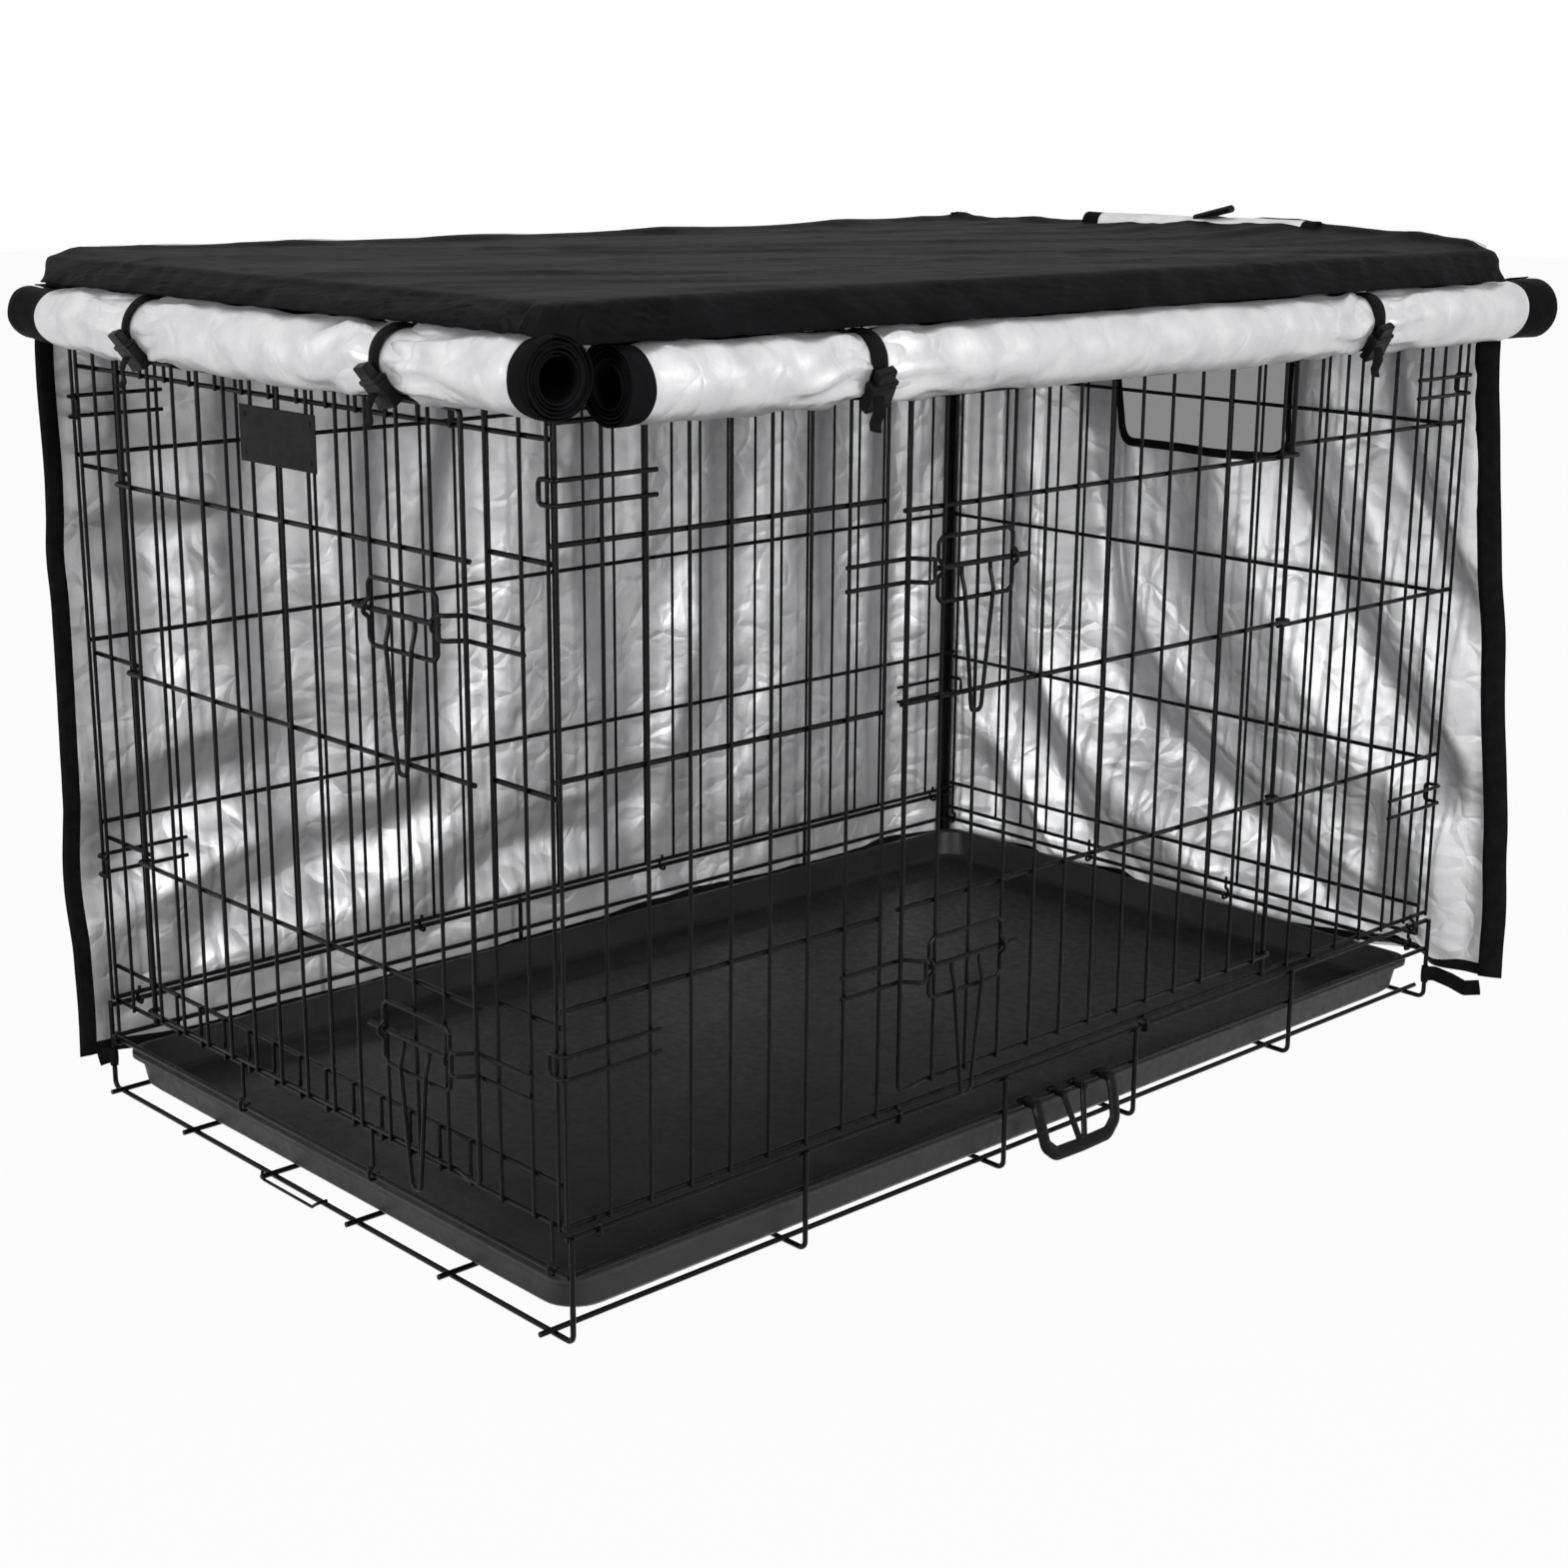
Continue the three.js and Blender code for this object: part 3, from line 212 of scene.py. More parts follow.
def add_camera():
    """The camera stands off the near right corner, a little above the cover."""
    back = Vector(
        (
            math.sin(AZIMUTH) * math.cos(ELEVATION),
            -math.cos(AZIMUTH) * math.cos(ELEVATION),
            math.sin(ELEVATION),
        )
    )
    level = Vector((0, 0, 1)).cross(back).normalized()
    upward = back.cross(level)
    right = math.cos(ROLL) * level + math.sin(ROLL) * upward
    top = math.cos(ROLL) * upward - math.sin(ROLL) * level
    data = bpy.data.cameras.new("camera")
    data.lens = LENS
    data.sensor_width = SENSOR
    data.clip_end = 40
    camera = bpy.data.objects.new("camera", data)
    camera.matrix_world = Matrix.Translation(EYE) @ Matrix((right, top, back)).transposed().to_4x4()
    bpy.context.scene.collection.objects.link(camera)
    bpy.context.scene.camera = camera


add_camera()


# ---- Materials ----

def srgb(code):
    """An sRGB hex colour as linear RGBA."""
    values = [int(code[i : i + 2], 16) / 255 for i in (1, 3, 5)]
    linear = [v / 12.92 if v <= 0.04045 else ((v + 0.055) / 1.055) ** 2.4 for v in values]
    return (*linear, 1.0)


def add_node(tree, kind, settings=None, inputs=None):
    """Adds a node, sets it up, and fills its inputs: another node's socket is linked, a value is set.

    A setting called "stops" gives a ramp its places and colours.
    """
    made = tree.nodes.new(kind)
    for key, value in (settings or {}).items():
        if key == "stops":
            for stop, (place, code) in zip(made.color_ramp.elements, value):
                stop.position = place
                stop.color = srgb(code)
        else:
            setattr(made, key, value)
    for key, value in (inputs or {}).items():
        if isinstance(value, bpy.types.NodeSocket):
            tree.links.new(value, made.inputs[key])
        else:
            made.inputs[key].default_value = value
    return made


def start_material(name):
    """An empty material and its node tree."""
    material = bpy.data.materials.new(name)
    material.use_nodes = True
    material.node_tree.nodes.clear()
    return material, material.node_tree


def end_material(tree, shader_inputs):
    """Joins the one shader of a material to its output."""
    shader = add_node(tree, "ShaderNodeBsdfPrincipled", None, shader_inputs)
    add_node(tree, "ShaderNodeOutputMaterial", None, {"Surface": shader.outputs[0]})


def per_mm(size):
    """A texture's scale whose features are about this many millimetres."""
    return 1 / (size * MM)


def black_coated_wire():
    """Steel wire, dip coated in black paint and baked: satin, with soft ripples and shiny thin spots."""
    material, tree = start_material("black_e_coated_steel_wire")
    place = add_node(tree, "ShaderNodeTexCoord").outputs["Object"]
    flow = add_node(tree, "ShaderNodeTexNoise", None, {"Vector": place, "Scale": per_mm(22), "Detail": 3})
    ripple = add_node(tree, "ShaderNodeTexNoise", None, {"Vector": place, "Scale": per_mm(3), "Detail": 2})
    tones = {"stops": ((0.35, "#050506"), (0.7, "#0b0b0c"))}
    tone = add_node(tree, "ShaderNodeValToRGB", tones, {"Fac": flow.outputs["Fac"]}).outputs["Color"]
    gloss = add_node(
        tree,
        "ShaderNodeMapRange",
        None,
        {"Value": flow.outputs["Fac"], "From Min": 0.3, "From Max": 0.7, "To Min": 0.2, "To Max": 0.34},
    )
    bump = add_node(
        tree,
        "ShaderNodeBump",
        None,
        {"Height": ripple.outputs["Fac"], "Strength": 0.25, "Distance": 0.15 * MM},
    )
    end_material(
        tree,
        {
            "Base Color": tone,
            "Roughness": gloss.outputs["Result"],
            "IOR": 1.5,
            "Specular IOR Level": 0.12,
            "Normal": bump.outputs["Normal"],
        },
    )
    return material


def moulded_plastic(name, dark, light, rough, shine, grain):
    """Black moulded plastic: a fine pebbled grain breaks up the shine, and the colour clouds slightly."""
    material, tree = start_material(name)
    place = add_node(tree, "ShaderNodeTexCoord").outputs["Object"]
    cloud = add_node(tree, "ShaderNodeTexNoise", None, {"Vector": place, "Scale": per_mm(60), "Detail": 4})
    pebbles = add_node(tree, "ShaderNodeTexVoronoi", None, {"Vector": place, "Scale": per_mm(grain)})
    scuffs = add_node(tree, "ShaderNodeTexNoise", None, {"Vector": place, "Scale": per_mm(9), "Detail": 6})
    tones = {"stops": ((0.35, dark), (0.7, light))}
    tone = add_node(tree, "ShaderNodeValToRGB", tones, {"Fac": cloud.outputs["Fac"]}).outputs["Color"]
    gloss = add_node(
        tree,
        "ShaderNodeMapRange",
        None,
        {
            "Value": scuffs.outputs["Fac"],
            "From Min": 0.3,
            "From Max": 0.7,
            "To Min": rough - 0.08,
            "To Max": rough + 0.1,
        },
    )
    bump = add_node(
        tree,
        "ShaderNodeBump",
        None,
        {"Height": pebbles.outputs["Distance"], "Strength": 0.35, "Distance": 0.12 * MM},
    )
    end_material(
        tree,
        {
            "Base Color": tone,
            "Roughness": gloss.outputs["Result"],
            "IOR": 1.49,
            "Specular IOR Level": shine,
            "Normal": bump.outputs["Normal"],
        },
    )
    return material


def weave(tree, threads, spacing):
    """Over and under threads on the cloth's own grain, as a height from 0 to 1."""
    waves = []
    for direction in ("X", "Y"):
        settings = {"wave_type": "BANDS", "bands_direction": direction, "wave_profile": "SIN"}
        inputs = {
            "Vector": threads,
            "Scale": per_mm(spacing) / math.pi,
            "Distortion": 0.6,
            "Detail": 1,
        }
        waves.append(add_node(tree, "ShaderNodeTexWave", settings, inputs).outputs["Fac"])
    crossed = {0: waves[0], 1: waves[1]}
    return add_node(tree, "ShaderNodeMath", {"operation": "MULTIPLY"}, crossed).outputs[0]


def oxford_cloth():
    """Black 600 denier polyester oxford: a matt basket weave whose lit folds turn a soft dark grey."""
    material, tree = start_material("black_polyester_oxford")
    threads = add_node(tree, "ShaderNodeUVMap", {"uv_map": "grain"}).outputs["UV"]
    # The real threads lie 0.6 mm apart, too fine to show, so the weave is drawn at 1.6 mm.
    cloth = weave(tree, threads, 1.6)
    fade = add_node(tree, "ShaderNodeTexNoise", None, {"Vector": threads, "Scale": per_mm(90), "Detail": 5})
    crease_settings = {"Vector": threads, "Scale": per_mm(35), "Detail": 7}
    creases = add_node(tree, "ShaderNodeTexNoise", None, crease_settings)
    tones = {"stops": ((0.35, "#0e0e0f"), (0.7, "#18181a"))}
    tone = add_node(tree, "ShaderNodeValToRGB", tones, {"Fac": fade.outputs["Fac"]}).outputs["Color"]
    fine = add_node(tree, "ShaderNodeBump", None, {"Height": cloth, "Strength": 0.3, "Distance": 0.2 * MM})
    bump = add_node(
        tree,
        "ShaderNodeBump",
        None,
        {
            "Height": creases.outputs["Fac"],
            "Strength": 0.9,
            "Distance": 3 * MM,
            "Normal": fine.outputs["Normal"],
        },
    )
    end_material(
        tree,
        {
            "Base Color": tone,
            "Roughness": 0.55,
            "Specular IOR Level": 0.012,
            "Normal": bump.outputs["Normal"],
        },
    )
    return material


def silver_lining():
    """The polyester's silver coated side: bright and pearly, with small sharp creases that catch light."""
    material, tree = start_material("silver_coated_polyester")
    threads = add_node(tree, "ShaderNodeUVMap", {"uv_map": "grain"}).outputs["UV"]
    bent = add_node(tree, "ShaderNodeTexNoise", None, {"Vector": threads, "Scale": per_mm(60), "Detail": 2})
    warp = add_node(
        tree,
        "ShaderNodeMixRGB",
        {"blend_type": "LINEAR_LIGHT"},
        {"Fac": 0.02, "Color1": threads, "Color2": bent.outputs["Color"]},
    )
    creases = add_node(
        tree,
        "ShaderNodeTexVoronoi",
        {"feature": "DISTANCE_TO_EDGE"},
        {"Vector": warp.outputs["Color"], "Scale": per_mm(38)},
    )
    rumple_settings = {"Vector": threads, "Scale": per_mm(28), "Detail": 6}
    rumple = add_node(tree, "ShaderNodeTexNoise", None, rumple_settings)
    sharp = add_node(
        tree,
        "ShaderNodeMapRange",
        None,
        {
            "Value": creases.outputs["Distance"],
            "From Min": 0.0,
            "From Max": 0.2,
            "To Min": 0.0,
            "To Max": 0.55,
        },
    )
    height = add_node(
        tree,
        "ShaderNodeMath",
        {"operation": "ADD"},
        {0: rumple.outputs["Fac"], 1: sharp.outputs["Result"]},
    )
    # The colour follows the rumple's height and darkens where the cloth sinks: painted shade in the
    # rumples' hollows.
    tones = {"stops": ((0.3, "#c6c6c8"), (0.7, "#dadadb"))}
    tone = add_node(tree, "ShaderNodeValToRGB", tones, {"Fac": rumple.outputs["Fac"]}).outputs["Color"]
    bump = add_node(
        tree,
        "ShaderNodeBump",
        None,
        {"Height": height.outputs[0], "Strength": 0.4, "Distance": 2.6 * MM},
    )
    end_material(
        tree,
        {
            "Base Color": tone,
            "Metallic": 0.75,
            "Roughness": 0.46,
            "Normal": bump.outputs["Normal"],
        },
    )
    return material


def ribbed_webbing(name, dark, light, spacing):
    """Woven polypropylene tape: fine ribs across it give a dull, slightly striped black."""
    material, tree = start_material(name)
    place = add_node(tree, "ShaderNodeTexCoord").outputs["Object"]
    ribs = add_node(
        tree,
        "ShaderNodeTexWave",
        {"wave_type": "BANDS", "bands_direction": "DIAGONAL"},
        {"Vector": place, "Scale": per_mm(spacing) / math.pi, "Distortion": 0.4},
    )
    lint = add_node(tree, "ShaderNodeTexNoise", None, {"Vector": place, "Scale": per_mm(12), "Detail": 5})
    tones = {"stops": ((0.35, dark), (0.7, light))}
    tone = add_node(tree, "ShaderNodeValToRGB", tones, {"Fac": lint.outputs["Fac"]}).outputs["Color"]
    bump = add_node(
        tree,
        "ShaderNodeBump",
        None,
        {"Height": ribs.outputs["Fac"], "Strength": 0.5, "Distance": 0.4 * MM},
    )
    end_material(
        tree,
        {
            "Base Color": tone,
            "Roughness": 0.72,
            "Specular IOR Level": 0.06,
            "Normal": bump.outputs["Normal"],
        },
    )
    return material


def window_net():
    """Knitted polyester net: black yarn with small holes, so what is behind it shows darkened."""
    material, tree = start_material("black_polyester_net")
    threads = add_node(tree, "ShaderNodeUVMap", {"uv_map": "grain"}).outputs["UV"]
    # A real net is knitted finer than can show, so it is drawn at 2.2 mm.
    knit = weave(tree, threads, 2.2)
    tones = {"stops": ((0.2, "#1a1a1b"), (0.8, "#38383a"))}
    tone = add_node(tree, "ShaderNodeValToRGB", tones, {"Fac": knit}).outputs["Color"]
    bump = add_node(tree, "ShaderNodeBump", None, {"Height": knit, "Strength": 0.5, "Distance": 0.3 * MM})
    end_material(
        tree,
        {"Base Color": tone, "Roughness": 0.8, "Alpha": 0.76, "Normal": bump.outputs["Normal"]},
    )
    return material


WIRE_COAT = black_coated_wire()
TRAY_PLASTIC = moulded_plastic("black_vacuum_formed_abs", "#18181a", "#222223", 0.46, 0.32, 1.8)
TRIM_PLASTIC = moulded_plastic("black_moulded_polypropylene", "#070708", "#0e0e0f", 0.42, 0.1, 1.2)
OXFORD = oxford_cloth()
SILVER = silver_lining()
WEBBING = ribbed_webbing("black_polypropylene_webbing", "#09090a", "#121213", 1.4)
BINDING = ribbed_webbing("black_grosgrain_binding", "#0b0b0c", "#151516", 1.8)
NET = window_net()


# ---- Building blocks ----

def front(u, w, z):
    """A point on the front panel, from its place along, outward and up."""
    return Vector((u, -HALF_LONG - w, z)) * MM


def back(u, w, z):
    """A point on the back panel."""
    return Vector((u, HALF_LONG + w, z)) * MM


def right(u, w, z):
    """A point on the right side panel, where u runs to the front."""
    return Vector((WIDTH / 2 + w, -u, z)) * MM


def left(u, w, z):
    """A point on the left side panel, where u runs to the front."""
    return Vector((-WIDTH / 2 - w, -u, z)) * MM


def place_mm(x, y, z):
    """A point in the crate's own millimetres."""
    return Vector((x, y, z)) * MM


def finish(name, bm, body, materials, replaces=(), solid=True):
    """Turns a bmesh into a piece that rides on a body and stands for the named CAD nodes."""
    if solid:
        bmesh.ops.recalc_face_normals(bm, faces=bm.faces)
    bmesh.ops.translate(bm, vec=CRATE_MIDDLE, verts=bm.verts)
    mesh = bpy.data.meshes.new(name)
    bm.to_mesh(mesh)
    bm.free()
    for material in materials:
        mesh.materials.append(material)
    piece = bpy.data.objects.new(name, mesh)
    bpy.context.scene.collection.objects.link(piece)
    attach(piece, body)
    if replaces:
        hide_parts(*replaces)
    return piece


def bend_corners(corners, radius, steps):
    """The line through the corners, with each corner rounded to the bend radius."""
    points = [corners[0]]
    for before, at, after in zip(corners, corners[1:], corners[2:]):
        into = (at - before).normalized()
        out = (after - at).normalized()
        turn = into.angle(out)
        if turn < 0.05 or radius <= 0:
            points.append(at)
            continue
        reach = min((at - before).length, (after - at).length) * 0.49
        bend = min(radius, reach / math.tan(turn / 2))
        start = at - into * bend * math.tan(turn / 2)
        inward = (out - into * out.dot(into)).normalized()
        for k in range(steps + 1):
            angle = turn * k / steps
            points.append(start + into * bend * math.sin(angle) + inward * bend * (1 - math.cos(angle)))
    points.append(corners[-1])
    return points


def section_places(points, wide, thick, hint):
    """One matrix for each point, which puts a unit circle square across the line, mitred at the bends."""
    runs = [(b - a).normalized() for a, b in zip(points, points[1:])]
    side = (hint - runs[0] * hint.dot(runs[0])).normalized()
    places = []
    for i, point in enumerate(points):
        into = runs[max(i - 1, 0)]
        out = runs[min(i, len(runs) - 1)]
        middle = (into + out).normalized()
        other = into.cross(side)
        columns = []
        for axis, size in ((side, wide), (other, thick)):
            columns.append((axis - into * axis.dot(middle) / into.dot(middle)) * size)
        columns.append(middle * max(wide, thick))
        matrix = Matrix(columns).transposed().to_4x4()
        places.append(Matrix.Translation(point) @ matrix)
        side = into.rotation_difference(out) @ side
    return places


def sweep(bm, points, wide, thick, sides=WIRE_SIDES, hint=None, turn=0.0):
    """Extrudes an oval of the given half sizes along a line and closes its two ends."""
    first_run = (points[1] - points[0]).normalized()
    if hint is None:
        hint = Vector((1, 0, 0)) if abs(first_run.z) > 0.9 else Vector((0, 0, 1))
    places = section_places(points, wide, thick, hint)
    start = places[0] @ Matrix.Rotation(turn, 4, "Z")
    ring = bmesh.ops.create_circle(bm, cap_ends=False, segments=sides, radius=1, matrix=start)["verts"]
    # Each edge once, in the ring's order.
    first = list(dict.fromkeys(edge for vert in ring for edge in vert.link_edges))
    edges = first
    for here, there in zip(places, places[1:]):
        grown = bmesh.ops.extrude_edge_only(bm, edges=edges)["geom"]
        verts = [item for item in grown if isinstance(item, bmesh.types.BMVert)]
        for item in grown:
            if isinstance(item, bmesh.types.BMFace):
                item.smooth = True
        bmesh.ops.transform(bm, matrix=there @ here.inverted(), verts=verts)
        new = set(verts)
        edges = [e for e in grown if isinstance(e, bmesh.types.BMEdge) and set(e.verts) <= new]
    for rim in (first, edges):
        bmesh.ops.edgeloop_fill(bm, edges=rim)
        for edge in rim:
            edge.smooth = False


def wire(bm, corners, size, bend=0.0, steps=4, sides=WIRE_SIDES):
    """A round wire bent through its corners; the sizes are in millimetres."""
    points = bend_corners(corners, bend * MM, steps)
    sweep(bm, points, size / 2 * MM, size / 2 * MM, sides, None, math.pi / sides)


def tape(bm, points, half_width, half_thick, across):
    """A flat band along a line, broad in the direction across; the half sizes are in millimetres."""
    sweep(bm, points, half_width * MM, half_thick * MM, 8, across, math.pi / 8)


def upright(bm, plane, u, low, high, w=0.0, size=UPRIGHT):
    """A straight upright wire on a panel."""
    wire(bm, [plane(u, w, low), plane(u, w, high)], size)


def rail(bm, plane, z, start, end, w=-RAIL_IN, size=RAIL):
    """A straight level wire on a panel, welded to the inside of its uprights."""
    wire(bm, [plane(start, w, z), plane(end, w, z)], size)


def base_hook(bm, plane, u, top, wire_z, room):
    """A hook that closes round a base wire from outside."""
    off = room + UPRIGHT / 2
    jog = wire_z + room + UPRIGHT
    points = [
        (0, top),
        (0, jog),
        (off, jog),
        (off, wire_z - off),
        (-off, wire_z - off),
        (-off, wire_z + UPRIGHT / 2),
    ]
    wire(bm, [plane(u, w, z) for w, z in points], UPRIGHT, 2.6, 3)


def block(bm, middle, size, edge, segments=2):
    """A bevelled block; the middle is in metres and the sizes in millimetres."""
    scale = Matrix.Diagonal((*[value * MM for value in size], 1))
    made = bmesh.ops.create_cube(bm, size=1, matrix=Matrix.Translation(middle) @ scale)["verts"]
    edges = list(dict.fromkeys(edge for vert in made for edge in vert.link_edges))
    bmesh.ops.bevel(
        bm,
        geom=edges,
        offset=edge * MM,
        segments=segments,
        profile=0.5,
        affect="EDGES",
        material=-1,
    )


def stations(*parts):
    """Places along a length: each part is (from, to, step)."""
    places = [parts[0][0]]
    for start, end, step in parts:
        count = max(1, round(abs(end - start) / step))
        places += [start + (end - start) * (k + 1) / count for k in range(count)]
    return places


def cloth(bm, across, along, place):
    """A sheet of cloth on two lists of flat places, with each vertex put where place(s, t) says."""
    columns = len(across) - 1
    rows = len(along) - 1
    grid = bmesh.ops.create_grid(bm, x_segments=columns, y_segments=rows, size=0.5)["verts"]
    grain = bm.loops.layers.uv.get("grain") or bm.loops.layers.uv.new("grain")
    flat = {}
    for vert in grid:
        i = round((vert.co.x + 0.5) * columns)
        j = round((vert.co.y + 0.5) * rows)
        flat[vert] = (across[i], along[j])
        vert.co = place(across[i], along[j]) * MM
    for face in {face for vert in grid for face in vert.link_faces}:
        face.smooth = True
        face.normal_update()
        for loop in face.loops:
            s, t = flat[loop.vert]
            loop[grain].uv = (s * MM, t * MM)
    return flat


def face_outward(bm, outward):
    """Turns the sheet over unless most of it faces the way that outward(face centre) gives."""
    total = sum(face.normal.dot(outward(face.calc_center_median())) for face in bm.faces)
    if total < 0:
        bmesh.ops.reverse_faces(bm, faces=bm.faces)


def smooth_between(bm, sharpest):
    """Smooths every face, and keeps each edge that turns by more than this many degrees sharp."""
    for face in bm.faces:
        face.smooth = True
    for edge in bm.edges:
        if len(edge.link_faces) == 2 and math.degrees(edge.calc_face_angle(0)) > sharpest:
            edge.smooth = False


def ripple(s, t, size_s, size_t, seed):
    """Smooth random waves between -1 and 1, of two sizes in millimetres."""
    return noise.noise(Vector((s / size_s + seed * 7.3, t / size_t - seed * 3.1, seed * 1.7)))


def ridge(value, width):
    """A rounded ridge, 1 on its crest, with shoulders about this wide."""
    return math.exp(-((value / width) ** 2))


def smooth_step(value, low, high):
    """Rises smoothly from 0 at the low value to 1 at the high value."""
    share = max(0.0, min(1.0, (value - low) / (high - low)))
    return share * share * (3 - 2 * share)


def thicken(piece, thickness, offset, back=1, rim=1):
    """Gives a sheet its thickness; back and rim count on from the front's material."""
    wall = piece.modifiers.new("wall", "SOLIDIFY")
    wall.thickness = thickness * MM
    wall.offset = offset
    wall.material_offset = back
    wall.material_offset_rim = rim


# ---- Base ----

def build_base():
    """Six U hoops carry the floor wires, two rails on each side and a crossbar at each end."""
    bm = bmesh.new()
    for place in HOOP_PLACES:
        y = place - HALF_LONG
        corners = [
            place_mm(-LEG_X, y, RAIL_A_Z + FRAME / 2),
            place_mm(-LEG_X, y, HOOP_Z),
            place_mm(LEG_X, y, HOOP_Z),
            place_mm(LEG_X, y, RAIL_A_Z + FRAME / 2),
        ]
        wire(bm, corners, FRAME, FOOT_BEND - 0.5, 5)
    for x in floor_wire_places():
        end = HALF_LONG + FLOOR_STUB
        z = FLOOR_WIRE_Z - WELD
        wire(bm, [place_mm(x, -end, z), place_mm(x, end, z)], FRAME)
    for side in (-1, 1):
        for z in (RAIL_A_Z, RAIL_B_Z):
            x = side * (WIDTH / 2 + WELD)
            end = HALF_LONG + FRAME / 2
            wire(bm, [place_mm(x, -end, z), place_mm(x, end, z)], FRAME)
    for plane in (front, back):
        end = WIDTH / 2
        wire(bm, [plane(-end, 0, RAIL_B_Z), plane(end, 0, RAIL_B_Z)], FRAME)
    finish(
        "base_wires",
        bm,
        "crate",
        [WIRE_COAT],
        [
            "base_floor_grid",
            "base_side_frame_left",
            "base_side_frame_right",
            "base_front_crossbar",
            "base_back_crossbar",
        ],
    )


def floor_wire_places():
    """Where the lengthwise floor wires lie across the base."""
    edge = LEG_X - FLOOR_EDGE
    return [-edge + 2 * edge * i / (FLOOR_WIRES - 1) for i in range(FLOOR_WIRES)]


# ---- Side panels and roof ----

def long_place(i):
    """Where an upright of a long panel stands."""
    return HALF_LONG - i * LONG_PITCH


def corner_hooks(bm, plane):
    """Hairpins that hold the end panels' edges from outside."""
    w = (UPRIGHT + HOOK) / 2 - WELD
    past = HALF_LONG + UPRIGHT / 2 + FIT + HOOK / 2
    for end in (1, -1):
        for middle in CORNER_HOOK_Z:
            points = [
                (HALF_LONG - CORNER_HOOK_RUN, w, 1),
                (past, w, 1),
                (past, -CORNER_HOOK_TIP, 1),
                (past, -CORNER_HOOK_TIP, -1),
                (past, w, -1),
                (HALF_LONG - CORNER_HOOK_RUN, w, -1),
            ]
            corners = [plane(end * u, out, middle + up * CORNER_HOOK_GAP / 2) for u, out, up in points]
            wire(bm, corners, HOOK, 4)


def build_side_panel(name, plane, rails, doorway):
    """A long panel: uprights, rails, hooks round the base rail and perhaps a doorway."""
    bm = bmesh.new()
    corner_hooks(bm, plane)
    top = PANEL_TOP + RAIL / 2
    side_end = HALF_LONG + UPRIGHT / 2
    for i in range(LONG_SPACES + 1):
        u = long_place(i)
        open_below = doorway and SIDE_DOOR_FROM < i < SIDE_DOOR_TO
        low = (SIDE_DOOR_TOP_RAIL if open_below else SIDE_BOTTOM_Z) - RAIL / 2
        size = FRAME if doorway and i == SIDE_DOOR_TO else UPRIGHT
        upright(bm, plane, u, low, top, 0, size)
    between = [SIDE_DOOR_TOP_RAIL] if doorway else rails
    for z in [PANEL_TOP, *between, SIDE_BOTTOM_Z]:
        rail(bm, plane, z, -side_end, side_end)
    if doorway:
        for z in rails:
            rail(bm, plane, z, long_place(SIDE_DOOR_FROM) - UPRIGHT / 2, side_end)
            rail(bm, plane, z, -side_end, long_place(SIDE_DOOR_TO) + FRAME / 2)
    for place in SIDE_HOOK_PLACES:
        base_hook(bm, plane, HALF_LONG - place, SIDE_BOTTOM_Z + RAIL, RAIL_A_Z, FRAME / 2 + FIT)
    parts = ["_latch_side", "_hinge_side", "_header", "_sill"] if doorway else [""]
    finish(name + "_wires", bm, "crate", [WIRE_COAT], [name + part for part in parts])


def build_roof():
    """The roof grille, whose every fourth cross wire turns down in two hooks."""
    bm = bmesh.new()
    hook_x = WIDTH / 2 + UPRIGHT + FIT
    for i in range(ROOF_CROSS + 1):
        y = -HALF_LONG + LENGTH * i / ROOF_CROSS
        corners = [place_mm(-hook_x, y, ROOF_CROSS_Z), place_mm(hook_x, y, ROOF_CROSS_Z)]
        if i % 4 == 1:
            low = ROOF_CROSS_Z - ROOF_HOOK_DROP
            corners = [place_mm(-hook_x, y, low), *corners, place_mm(hook_x, y, low)]
        wire(bm, corners, UPRIGHT, 3)
    for i in range(ROOF_LONG):
        x = -WIDTH / 2 + WIDTH * i / (ROOF_LONG - 1)
        end = HALF_LONG + UPRIGHT / 2
        wire(bm, [place_mm(x, -end, ROOF_LONG_Z - WELD), place_mm(x, end, ROOF_LONG_Z - WELD)], RAIL)
    finish("roof_panel", bm, "crate", [WIRE_COAT], ["roof_panel"])


# ---- End panels ----

def cross_place(i):
    """Where an upright of an end panel stands."""
    return max(-EDGE_PLACE, min(EDGE_PLACE, -WIDTH / 2 + i * CROSS_PITCH))


def end_hooks(bm, plane, top):
    """An end panel's hooks over the base's crossbar."""
    for u in [-EDGE_PLACE, *END_HOOK_PLACES]:
        base_hook(bm, plane, u, top, RAIL_B_Z, 3)


def build_front_panel():
    """The short panel with the front doorway."""
    bm = bmesh.new()
    end_hooks(bm, front, FRONT_LOW_RAILS[1] + RAIL)
    top = END_TOP + RAIL / 2
    bottom = FRONT_LOW_RAILS[1] - RAIL / 2
    for i in range(CROSS_SPACES + 1):
        u = cross_place(i)
        if i == FRONT_DOOR_FROM:
            upright(bm, front, u, bottom, top, 0, FRAME)
        elif FRONT_DOOR_FROM < i < FRONT_DOOR_TO:
            upright(bm, front, u, FRONT_DOOR_TOP_RAIL - RAIL / 2, top)
            upright(bm, front, u, bottom, FRONT_LOW_RAILS[0] + RAIL / 2)
        else:
            upright(bm, front, u, bottom, top)
    for z in [END_TOP, FRONT_DOOR_TOP_RAIL, *FRONT_LOW_RAILS]:
        rail(bm, front, z, -END_HALF, END_HALF)
    for z in FRONT_STUB_RAILS:
        rail(bm, front, z, -END_HALF, cross_place(FRONT_DOOR_FROM) + FRAME / 2)
        rail(bm, front, z, cross_place(FRONT_DOOR_TO) - UPRIGHT / 2, END_HALF)
    parts = ["hinge_side", "latch_side", "header", "sill"]
    finish("front_panel_wires", bm, "front_panel", [WIRE_COAT], ["front_panel_" + part for part in parts])


